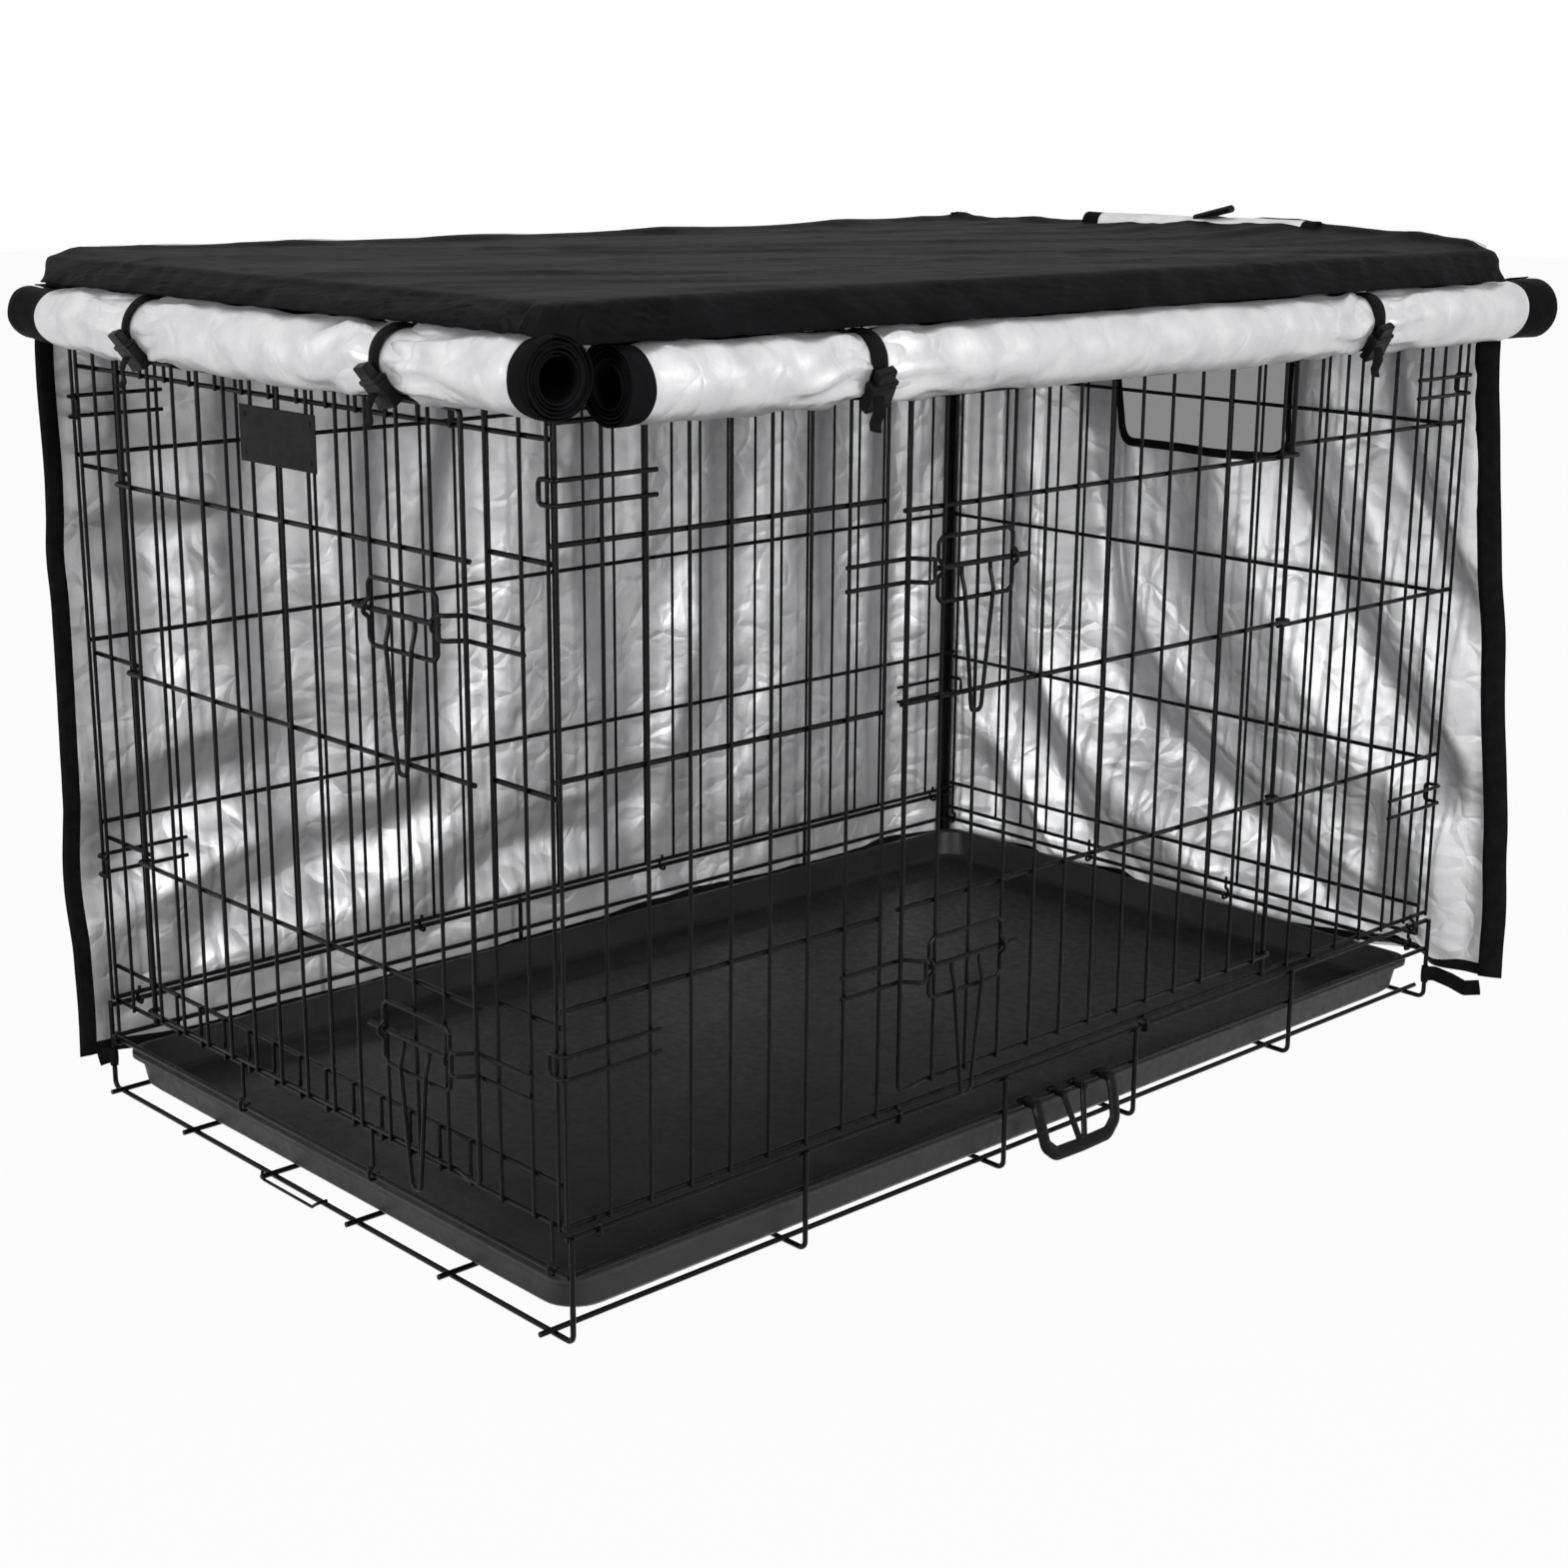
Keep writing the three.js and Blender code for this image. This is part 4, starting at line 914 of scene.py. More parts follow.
def build_back_panel():
    """The short panel with no doorway."""
    bm = bmesh.new()
    end_hooks(bm, back, BACK_RAILS[-1] + RAIL)
    for i in range(CROSS_SPACES + 1):
        upright(bm, back, cross_place(i), BACK_RAILS[-1] - RAIL / 2, END_TOP + RAIL / 2)
    for z in [END_TOP, *BACK_RAILS]:
        rail(bm, back, z, -END_HALF, END_HALF)
    finish("back_panel_wires", bm, "back_panel", [WIRE_COAT], ["back_panel"])


# ---- Doors ----

def curled_end(plane, hinge, z):
    """Where a door rail curls round the hinge wire, from its tip out to the door's own plane."""
    off = DOOR_RAIL_OUT
    return [plane(hinge + RAIL / 2, -off, z), plane(hinge - off, -off, z), plane(hinge - off, off, z)]


def build_door(name, body, plane, hinge, free, rails, replaced):
    """A door: uprights and rails inside one bent outer wire, curled round the hinge wire."""
    bm = bmesh.new()
    first = hinge + DOOR_HINGE_MARGIN
    high = rails[0]
    low = rails[-1]
    for i in range(DOOR_COLUMNS):
        u = first + (free - first) * i / DOOR_COLUMNS
        upright(bm, plane, u, low - RAIL / 2, high + RAIL / 2, DOOR_UPRIGHT_OUT - WELD)
    # The outer wire runs from the top curl round the door's free edge to the bottom curl.
    # Near the free edge it steps out from the rails' plane to the uprights' plane.
    step_from = free - 36
    step_to = free - 16
    outer = curled_end(plane, hinge, high)
    outer += [plane(step_from, DOOR_RAIL_OUT, high), plane(step_to, DOOR_UPRIGHT_OUT, high)]
    outer += [plane(free, DOOR_UPRIGHT_OUT, high), plane(free, DOOR_UPRIGHT_OUT, low)]
    outer += [plane(step_to, DOOR_UPRIGHT_OUT, low), plane(step_from, DOOR_RAIL_OUT, low)]
    outer += curled_end(plane, hinge, low)[::-1]
    wire(bm, outer, RAIL, DOOR_CORNER * 0.43)
    for z in rails[1:-1]:
        wire(bm, curled_end(plane, hinge, z) + [plane(free + UPRIGHT / 2, DOOR_RAIL_OUT, z)], RAIL, 4.6)
    finish(name + "_wires", bm, body, [WIRE_COAT], [replaced])


def latch_places(plane, free, z):
    """A point on a latch, from the middle of its keeper."""
    return lambda u, w, up: plane(free - LATCH_BACK + u, w, z + up)


def build_keeper(name, body, at):
    """A wire bent round in a rectangle with soft corners, and bulged at both sides over the bolt."""
    half = KEEPER_WIDTH / 2
    cut = 5

    def side(u):
        return [
            (u - math.copysign(cut, u), KEEPER_W, -KEEPER_DOWN),
            (u, KEEPER_W, -KEEPER_DOWN + cut),
            (u, KEEPER_W, -FRAME * 1.6),
            (u, NOTCH_W, -FRAME * 0.7),
            (u, NOTCH_W, FRAME * 0.7),
            (u, KEEPER_W, FRAME * 1.6),
            (u, KEEPER_W, KEEPER_UP - cut),
        ]

    top = [(-FIT / 2, KEEPER_W, KEEPER_UP), (cut - half, KEEPER_W, KEEPER_UP)]
    points = [*top, *side(-half)[::-1], *side(half), *[(-u, w, z) for u, w, z in top[::-1]]]
    bm = bmesh.new()
    wire(bm, [at(*p) for p in points], HOOK, 4)
    finish(name + "_wire", bm, body, [WIRE_COAT], [name])


def build_bolt(name, body, at):
    """A rod with a long V handle hanging from it."""
    handle_w = KEEPER_W + HOOK + FIT + 0.4

    def leg(side):
        return [
            (side * HANDLE_HALF, ROD_W, 0),
            (side * HANDLE_HALF, ROD_W, -HOOK * 2),
            (side * HANDLE_HALF, handle_w, -KEEPER_DOWN * 0.8),
            (side * HANDLE_HALF * 0.33, handle_w, -HANDLE_DROP),
        ]

    bm = bmesh.new()
    wire(bm, [at(-BOLT_BACK, ROD_W, 0), at(BOLT_FRONT, ROD_W, 0)], FRAME, 0, 1, 12)
    wire(bm, [at(*p) for p in [*leg(-1), *leg(1)[::-1]]], HOOK, 5, 5)
    finish(name + "_wire", bm, body, [WIRE_COAT], [name])


def build_receiver(name, body, plane, free, outer, z):
    """A hairpin that passes behind the door's edge and stands out in front of the bolt's rod."""
    lying = UPRIGHT / 2 + FIT + HOOK / 2
    standing = ROD_W + FRAME / 2 + HOOK / 2 + 1
    closed = free - RECEIVER_BACK

    def leg(side):
        return [
            (outer + RECEIVER_PAST, lying, side * RECEIVER_HALF),
            (free - HOOK * 1.5, lying, side * RECEIVER_HALF),
            (closed + HOOK * 1.5, standing, side * RECEIVER_HALF),
            (closed, standing, side * RECEIVER_HALF),
        ]

    bm = bmesh.new()
    wire(bm, [plane(u, w, z + up) for u, w, up in [*leg(1), *leg(-1)[::-1]]], HOOK, 6, 5)
    finish(name + "_wire", bm, body, [WIRE_COAT], [name])


def build_doorway(name, plane, hinge, opening, outer, rails, latches, panel_body):
    """A door with its two latches."""
    free = opening - DOOR_FREE_MARGIN
    door_body = name + "_door"
    build_door(door_body, door_body, plane, hinge, free, rails, door_body)
    for level, z in zip(("upper", "lower"), latches):
        at = latch_places(plane, free, z)
        bolt = f"{name}_bolt_{level}"
        build_keeper(f"{name}_keeper_{level}", door_body, at)
        build_bolt(bolt, bolt, at)
        build_receiver(f"{name}_receiver_{level}", panel_body, plane, free, outer, z)


# ---- Tray, pan stop, carry handle and name plate ----

def tray_ring(bm, half_x, half_y, corner, z):
    """A rounded rectangle of edges at one height of the tray."""
    at = Matrix.Translation((0, 0, z * MM))
    scale = Matrix.Diagonal((half_x * MM, half_y * MM, 1, 1))
    grid = bmesh.ops.create_grid(bm, x_segments=1, y_segments=1, size=1, matrix=at @ scale)["verts"]
    made = bmesh.ops.bevel(
        bm,
        geom=grid,
        offset=corner * MM,
        segments=8,
        profile=0.5,
        affect="VERTICES",
        material=-1,
    )
    inside = [face for face in bm.faces if all(vert in made["verts"] for vert in face.verts)]
    edges = list(dict.fromkeys(edge for face in inside for edge in face.edges))
    bmesh.ops.delete(bm, geom=inside, context="FACES_ONLY")
    return edges


def build_tray():
    """A vacuum formed pan: a turned-over lip, sloping walls and a floor with a shallow raised field."""
    bm = bmesh.new()
    low = TRAY_FLOOR_Z + TRAY_WALL
    # Each ring of the pan: how far it lies in from the edge, its corners' radius and its height.
    levels = (
        (0, TRAY_CORNER, TRAY_TOP - 6),
        (0, TRAY_CORNER, TRAY_TOP - 1),
        (1, TRAY_CORNER, TRAY_TOP),
        (TRAY_LIP, TRAY_CORNER, TRAY_TOP),
        (TRAY_LIP + 2, TRAY_CORNER, TRAY_TOP - 2),
        (TRAY_LIP + TRAY_SLOPE - 4, 30, low + 5),
        (TRAY_LIP + TRAY_SLOPE, 32, low + 1),
        (TRAY_LIP + TRAY_SLOPE + 5, 34, low),
        (TRAY_LIP + TRAY_SLOPE + 56, 40, low),
        (TRAY_LIP + TRAY_SLOPE + 62, 38, low + 3),
    )
    rings = [tray_ring(bm, TRAY_HALF_X - k, TRAY_HALF_Y - k, corner, z) for k, corner, z in levels]
    for outer, inner in zip(rings, rings[1:]):
        bmesh.ops.bridge_loops(bm, edges=outer + inner)
    bmesh.ops.contextual_create(bm, geom=rings[-1])
    bmesh.ops.recalc_face_normals(bm, faces=bm.faces)
    face_outward(bm, lambda centre: Vector((0, 0, 1)))
    smooth_between(bm, 35)
    tray = finish("tray_pan", bm, "tray", [TRAY_PLASTIC], ["tray"], solid=False)
    thicken(tray, TRAY_WALL, -1, 0, 0)


def build_pan_stop():
    """A short wire lever that curls under a floor wire's stub."""
    x = floor_wire_places()[2]
    y = -HALF_LONG - FLOOR_STUB + STOP_WIRE * 1.5
    radius = FRAME / math.sqrt(2) + FIT + STOP_WIRE / 2
    low = FLOOR_WIRE_Z - radius
    over = HOOP_Z + FRAME / 2 + FIT + STOP_WIRE / 2
    corners = [
        place_mm(x - radius, y, FLOOR_WIRE_Z + FRAME / 2 - FIT),
        place_mm(x - radius, y, low),
        place_mm(x + STOP_LEVER - STOP_WIRE * 2, y, low),
        place_mm(x + STOP_LEVER, y, over),
        place_mm(x + STOP_LEVER, -HALF_LONG, over),
    ]
    bm = bmesh.new()
    wire(bm, corners, STOP_WIRE, 3.5)
    finish("pan_stop_wire", bm, "pan_stop", [WIRE_COAT], ["pan_stop"])


def build_carry_handle():
    """A moulded U strap with a hook at each end and a clip in its middle, hung on the lower base rail."""
    bm = bmesh.new()
    x = WIDTH / 2 + CARRY_OUT
    y = CARRY_PLACE - HALF_LONG
    half = CARRY_SPAN / 2 - 3
    lean = 8  # how far the grip leans out past the hooks
    low = CARRY_LOW + CARRY_ARM / 2
    top = RAIL_B_Z + 4
    inner = FRAME / math.sqrt(2) + FIT
    middle = inner + 1.6
    outline = [
        place_mm(x - 6, y - half, top),
        place_mm(x - 1, y - half, top - 12),
        place_mm(x + lean - 2, y - half + 3, low + 12),
        place_mm(x + lean, y - half + 16, low + 1),
        place_mm(x + lean, y, low),
        place_mm(x + lean, y + half - 16, low + 1),
        place_mm(x + lean - 2, y + half - 3, low + 12),
        place_mm(x - 1, y + half, top - 12),
        place_mm(x - 6, y + half, top),
    ]
    path = bend_corners(outline, 11 * MM, 4)
    sweep(bm, path, CARRY_ARM / 2 * MM, CARRY_THICK / 2 * MM, 12, Vector((0, 1, 0)), math.pi / 12)
    for side in (-1, 1):
        clip = [place_mm(x - 6, y + side * 15, top), place_mm(x + lean, y + side * 3.2, low + 5)]
        tape(bm, clip, 3.6, 2.2, Vector((0, 1, 0)))
    for place, width in ((-half, CARRY_ARM), (-15, 7), (15, 7), (half, CARRY_ARM)):
        arc = []
        for k in range(15):
            angle = -0.2 + (4.4 * k) / 14
            spot = (WIDTH / 2 + middle * math.cos(angle), RAIL_B_Z + middle * math.sin(angle))
            arc.append(place_mm(spot[0], y + place, spot[1]))
        tape(bm, arc, width / 2, 1.6, Vector((0, 1, 0)))
        web = CARRY_OUT - inner - 2
        block(bm, place_mm(WIDTH / 2 + inner + web / 2, y + place, RAIL_B_Z + 1.5), (web, width, 6), 1, 2)
    smooth_between(bm, 40)
    finish("carry_handle_strap", bm, "carry_handle", [TRIM_PLASTIC], ["carry_handle"])


def build_name_plate():
    """A small moulded plate with finely bevelled edges and four rivets, left bare."""
    u, z = PLATE_PLACE
    w = DOOR_FACE + FIT + PLATE_THICK / 2
    bm = bmesh.new()
    block(bm, front(u, w, z), (PLATE_WIDTH, PLATE_THICK, PLATE_HEIGHT), 0.35, 1)
    for sx in (-1, 1):
        for sz in (-1, 1):
            across = u + sx * (PLATE_WIDTH / 2 - RIVET_IN)
            spot = front(across, w + PLATE_THICK / 2, z + sz * (PLATE_HEIGHT / 2 - RIVET_IN))
            dome = Matrix.Translation(spot) @ Matrix.Diagonal((1, 0.45, 1, 1))
            radius = RIVET_RADIUS * MM
            bmesh.ops.create_uvsphere(bm, u_segments=12, v_segments=8, radius=radius, matrix=dome)
    finish("name_plate_bare", bm, "front_door", [TRIM_PLASTIC], ["name_plate"])


# ---- Cover ----

def fall_profile(eave, roll_out, roll_z):
    """How the top cloth goes over an eave and lies on the roll: flat distance, outward place, height."""
    angle = math.radians(68)
    end = Vector((roll_out, roll_z)) + Vector((math.cos(angle), math.sin(angle))) * (ROLL_START + 0.5)
    bend = Vector((eave + 12, TOP_Z - 4.5))
    points = [
        Vector((eave, TOP_Z)),
        Vector((eave + 4, TOP_Z - 0.6)),
        Vector((eave + 8, TOP_Z - 2.2)),
        bend,
        bend.lerp(end, 0.5) + Vector((1, 1.5)),
        bend.lerp(end, 0.8) + Vector((1, 1)),
        end,
    ]
    table = [(0.0, points[0])]
    for a, b in zip(points, points[1:]):
        table.append((table[-1][0] + (b - a).length, b))
    return table


def on_profile(table, distance):
    """The point at a flat distance along a profile."""
    for (d0, p0), (d1, p1) in zip(table, table[1:]):
        if distance <= d1:
            return p0.lerp(p1, (distance - d0) / (d1 - d0))
    return table[-1][1]


def top_height(s, t):
    """How far the top cloth stands above the roof: two sets of slanting folds and a rise at its seams."""
    on_top = smooth_step(min(EAVE_X - s, t - EAVE_Y), -4, 25)
    over, down = 0.88 * s - 0.475 * t, 0.475 * s + 0.88 * t
    long_fold = 4.5 * max(0.0, 0.6 - 2.2 * abs(ripple(over, down, 95, 520, 1)))
    short_fold = 2.5 * max(0.0, 0.5 - 2.2 * abs(ripple(over + 0.3 * down, down, 60, 210, 2)))
    rise = 4 * smooth_step(t, 100, 620) * smooth_step(-s, -370, 380)
    rise += 15 * ridge(s - 90, 230) * ridge(t - 640, 110) + 5 * ridge(t - 618, 12)
    rise += 4 * ridge(s + 379, 14)
    return on_top * (0.6 + long_fold + short_fold + rise)


def build_cover_top():
    """One sheet over the roof that drops at the front and at the right down to the two rolls."""
    side_fall = fall_profile(EAVE_X, WIDTH / 2 + SIDE_ROLL_OUT, SIDE_ROLL_Z)
    front_fall = fall_profile(-EAVE_Y, HALF_LONG + FRONT_ROLL_OUT, FRONT_ROLL_Z)
    side_drop = side_fall[-1][0]
    front_drop = front_fall[-1][0]
    across = stations((TOP_LEFT, EAVE_X - 8, 9), (EAVE_X - 8, EAVE_X + side_drop, 2.4))
    along = stations((EAVE_Y - front_drop, EAVE_Y + 8, 2.4), (EAVE_Y + 8, TOP_BACK, 9))

    def place(s, t):
        past_x = s - EAVE_X
        past_y = EAVE_Y - t
        x, z_x = (s, TOP_Z) if past_x <= 0 else on_profile(side_fall, past_x)
        out_y, z_y = (-t, TOP_Z) if past_y <= 0 else on_profile(front_fall, past_y)
        z = min(z_x, z_y)
        z += top_height(s, t)
        # Past the eaves the cloth puckers along its seam, most of all near the corner.
        hanging = smooth_step(max(past_x, past_y), 1, 14)
        near_corner = ridge(s - EAVE_X, 110) * ridge(t - EAVE_Y, 110)
        pucker = 1 - 2.4 * abs(ripple(s + t, s - t, 26, 90, 3))
        gathers = (1.6 + 2.4 * near_corner) * pucker + 0.8 * ripple(s + t, 0, 8, 1, 4)
        # Each drop runs in to meet the end of its roll.
        if past_x > 0 and past_x >= past_y:
            x += hanging * gathers
            out_y += 30 * smooth_step(past_x, 0, side_drop) * smooth_step(t, TOP_BACK - 150, TOP_BACK)
        elif past_y > 0:
            out_y += hanging * gathers
            x += 60 * smooth_step(past_y, 0, front_drop) * smooth_step(-s, -TOP_LEFT - 150, -TOP_LEFT)
        z += hanging * 0.6 * gathers
        return Vector((x, -out_y, z))

    bm = bmesh.new()
    cloth(bm, across, along, place)
    face_outward(bm, lambda centre: Vector((0, 0, 1)))
    top = finish("cover_top_cloth", bm, "crate", [OXFORD, SILVER], ["cover_top"], solid=False)
    thicken(top, CLOTH, -1, 1, 0)


def roll_radius(turned):
    """The radius of a rolled flap after this many turns from its outside."""
    return ROLL_START + (ROLL_CORE - ROLL_START) * turned / ROLL_TURNS


def build_roll(name, node, to_world, span, bound, taper, straps, seed):
    """A flap wound up lining side out, pinched where the straps go round it, with bound ends."""
    per_turn = 40
    steps = per_turn * ROLL_TURNS
    start = math.radians(100)
    spiral_length = math.pi * (ROLL_START + ROLL_CORE) * ROLL_TURNS
    across = stations((span[0], span[1], 7.5))
    along = [spiral_length * k / steps for k in range(steps + 1)]

    def place(s, t):
        turned = ROLL_TURNS * t / spiral_length
        angle = start + 2 * math.pi * turned
        radius = roll_radius(turned)
        outer = smooth_step(-turned, -2.2, -0.6)
        # Each strap pinches the roll, and short folds fan out on both sides of it.
        near = min(abs(s - strap) for strap in straps)
        pinch = ridge(near, PINCH_WIDTH)
        fan = ridge(near, FAN_WIDTH) * smooth_step(near, 4, 20)
        radius -= PINCH_DEPTH * pinch * outer + taper * (1 - smooth_step(s - span[0], 0, 150))
        folds = 0.4 - abs(math.sin(3.5 * angle + 3 * ripple(s, t, 60, 60, seed)))
        radius += outer * FAN_DEPTH * fan * folds
        # The cloth is lumpy and creased, with a small dent where its binding is sewn on.
        radius += outer * 1.6 * ripple(s, t, 120, 45, seed + 1)
        radius += outer * 2.2 * (0.5 - abs(ripple(s + 0.9 * t, t, 60, 80, seed + 2)) * 2)
        near_end = min(s - span[0], span[1] - s)
        radius -= 1.5 * ridge(min(s - span[0] - bound[0], span[1] - bound[1] - s), 6) * outer
        # The whole roll sags between its ends, and its turns do not end in one plane.
        sag = 2.0 * math.sin(math.pi * (s - span[0]) / (span[1] - span[0]))
        drift = 1.6 * ripple(s, 0, 170, 1, seed + 3) - sag
        tilt = 2.5 * ripple(0, t, 1, 90, seed + 4) * smooth_step(-near_end, -60, 0)
        out = radius * math.cos(angle)
        up = radius * math.sin(angle)
        return to_world(s + tilt, out, up + drift)

    bm = bmesh.new()
    flat = cloth(bm, across, along, place)
    for face in bm.faces:
        s = sum(flat[vert][0] for vert in face.verts) / 4
        if s < span[0] + bound[0] or s > span[1] - bound[1]:
            face.material_index = 1
    axis_from = to_world(span[0], 0, 0) * MM
    axis = (to_world(span[1], 0, 0) * MM - axis_from).normalized()
    face_outward(bm, lambda centre: centre - axis_from - axis * (centre - axis_from).dot(axis))
    roll = finish(name, bm, "crate", [SILVER, OXFORD, OXFORD], [node], solid=False)
    thicken(roll, CLOTH, -1)


def front_roll_place(s, out, up):
    """A point on the front roll, from its length, outward and up."""
    return Vector((s, -HALF_LONG - FRONT_ROLL_OUT - out, FRONT_ROLL_Z + up))


def side_roll_place(s, out, up):
    """A point on the side roll, from its length, outward and up."""
    return Vector((WIDTH / 2 + SIDE_ROLL_OUT + out, s, SIDE_ROLL_Z + up))


def build_strap(name, nodes, to_world, middle, along):
    """A narrow webbing band drawn tight round a roll, with a side release buckle low on its outside."""
    bm = bmesh.new()
    arc = []
    for k in range(49):
        turned = 2 * math.pi * k / 48
        angle = math.radians(80) + turned
        radius = STRAP_RADIUS + 0.7 * math.sin(3 * angle + middle)
        lean = 5 * math.sin(turned)
        arc.append(to_world(middle + lean, radius * math.cos(angle), radius * math.sin(angle)) * MM)
    tape(bm, arc, STRAP_HALF, 2.2, along)
    tail = [(21, -19), (27, -25), (30, -34), (27, -44), (30, -50)]
    points = [to_world(middle - 3 - 2 * k, out, up) * MM for k, (out, up) in enumerate(tail)]
    tape(bm, bend_corners(points, 4 * MM, 3), 6, 1.1, along)
    band = finish(name, bm, "crate", [WEBBING], [nodes[0]])
    bm = bmesh.new()
    angle = math.radians(-34)
    buckle_out = BUCKLE_RADIUS * math.cos(angle)
    spot = to_world(middle - 2, buckle_out, BUCKLE_RADIUS * math.sin(angle)) * MM
    outward = (spot - to_world(middle - 2, 0, 0) * MM).normalized()
    turn = Matrix((along, outward, along.cross(outward))).transposed().to_4x4()
    tilt = Matrix.Rotation(math.radians(12), 4, "Y")
    # The buckle's body, its tongue, and a bar across each end of the body.
    for size, shift in (((26, 9, 20), 7), ((18, 8, 18), -10), ((27, 10, 5), -5), ((27, 10, 5), 17)):
        block(bm, Vector((0, 0, shift * MM)), size, 1.6, 2)
    bmesh.ops.transform(bm, matrix=Matrix.Translation(spot) @ turn @ tilt, verts=bm.verts)
    finish(name + "_buckle", bm, "crate", [TRIM_PLASTIC], [nodes[1]])
    return band


def build_rolls():
    """The two rolled flaps, each with two straps."""
    front_bound = (FAR_BOUND, NEAR_BOUND)
    side_bound = (NEAR_BOUND, FAR_BOUND)
    front_at = (front_roll_place, FRONT_ROLL_SPAN, front_bound)
    side_at = (side_roll_place, SIDE_ROLL_SPAN, side_bound)
    build_roll("front_flap_roll", "front_roll", *front_at, FRONT_ROLL_TAPER, FRONT_STRAPS, 11)
    build_roll("side_flap_roll", "side_roll", *side_at, 0, SIDE_STRAPS, 23)
    for i, x in enumerate(FRONT_STRAPS, 1):
        nodes = [f"front_roll_strap_{i}", f"front_roll_buckle_{i}"]
        build_strap(f"front_strap_{i}", nodes, front_roll_place, x, Vector((1, 0, 0)))
    for i, y in enumerate(SIDE_STRAPS, 1):
        nodes = [f"side_roll_strap_{i}", f"side_roll_buckle_{i}"]
        build_strap(f"side_strap_{i}", nodes, side_roll_place, y, Vector((0, 1, 0)))


def pleat(off, sinks, returns):
    """A fold's depth across it, from 0 to 1: it sinks over one width and comes back over another."""
    return smooth_step(off, 0, sinks) * (1 - smooth_step(off, sinks, sinks + returns))


def over_length(t, start, end):
    """How strong a fold is along its length: it fades in and out at its two ends."""
    return smooth_step(t, start - 60, start + 60) * (1 - smooth_step(t, end - 60, end + 60))


def crumple(s, t, seed):
    """The sharp-crested rumples of a stiff coated cloth, large and small."""
    large = 1 - abs(ripple(s, t, 90, 130, seed)) * 2
    small = 1 - abs(ripple(s, t, 31, 38, seed + 1)) * 2
    return 4.2 * large + 1.3 * small + 0.4 * ripple(s, t, 12, 12, seed + 2) + 6


# Folds of the long panel, in millimetres: from the front edge, lean, top and low end, widths, depth.
LONG_PLEATS = (
    (60, 0.02, 60, 420, 40, 60, 14),
    (150, 0.1, 60, 640, 70, 80, 38),
    (330, 0.05, 40, 380, 50, 60, 20),
    (440, -0.08, 60, 560, 60, 90, 26),
    (590, 0.1, 30, 780, 80, 110, 34),
    (745, -0.04, 60, 420, 60, 80, 18),
    (850, -0.1, 120, 800, 60, 110, 26),
    (1000, 0.04, 30, 520, 50, 80, 20),
    (1110, 0.0, 60, 800, 50, 60, 24),
)
# Its slanting folds: place down the front edge, rise, near and far end, widths, depth.
LONG_SLANTS = (
    (530, 0.3, -80, 290, 70, 80, 36),
    (672, 0.27, 150, 430, 50, 60, 26),
    (250, 0.12, -60, 200, 50, 60, 18),
    (700, 0.12, 480, 760, 50, 60, 22),
)
# Folds of the short panel: place, height of the turn, slant below it, top and low end, widths, depth.
SHORT_PLEATS = (
    (-400, 560, 0.9, 420, 950, 50, 90, 28),
    (-272, 540, 1.0, 60, 950, 62, 90, 34),
    (-92, 505, 1.7, 190, 950, 62, 105, 46),
    (160, 270, 0.8, 60, 640, 46, 100, 32),
    (270, 150, 0.6, 60, 470, 36, 70, 22),
    (25, 400, 0.7, 150, 540, 60, 110, 14),
    (-165, 300, 0.4, 60, 430, 40, 70, 13),
    (300, 560, 0.25, 600, 950, 50, 80, 18),
)


def beside_fold(x, t, place, turn, slant):
    """How far left of a fold a point lies; the fold hangs straight to its turn and then slants away."""
    soft = 40
    past = math.log1p(math.exp((t - turn) / soft)) * soft
    share = 1 / (1 + math.exp((turn - t) / soft))
    return (place + slant * past - x) / math.hypot(1, slant * share)


def long_side_folds(s, t, seed):
    """The long panel hangs in wide soft folds, crossed by a few that slant up from its front edge."""
    wander = 26 * ripple(s, t, 190, 210, seed)
    depth = 0.0
    for place, lean, start, end, sinks, returns, deep in LONG_PLEATS:
        depth += deep * pleat(s + wander - place - lean * t, sinks, returns) * over_length(t, start, end)
    for place, rise, near, far, sinks, returns, deep in LONG_SLANTS:
        depth += deep * pleat(t + wander - place + rise * s, sinks, returns) * over_length(s, near, far)
    # No fold stands out further than FOLD_LIMIT.
    depth = FOLD_LIMIT * math.tanh((depth + crumple(s, t, seed + 4)) / FOLD_LIMIT)
    return depth * smooth_step(t, -20, 90)


def short_side_folds(x, t, seed):
    """The end panel's folds hang straight at the top, then turn and sweep sideways as they fall."""
    wander = 14 * ripple(x, t, 150, 170, seed)
    depth = 0.0
    for place, turn, slant, start, end, sinks, returns, deep in SHORT_PLEATS:
        off = beside_fold(x, t, place, turn, slant) + wander
        depth += deep * pleat(off, sinks, returns) * over_length(t, start, end)
    return (depth + 0.6 * crumple(x - 0.5 * t, t, seed + 2)) * smooth_step(t, -20, 110)


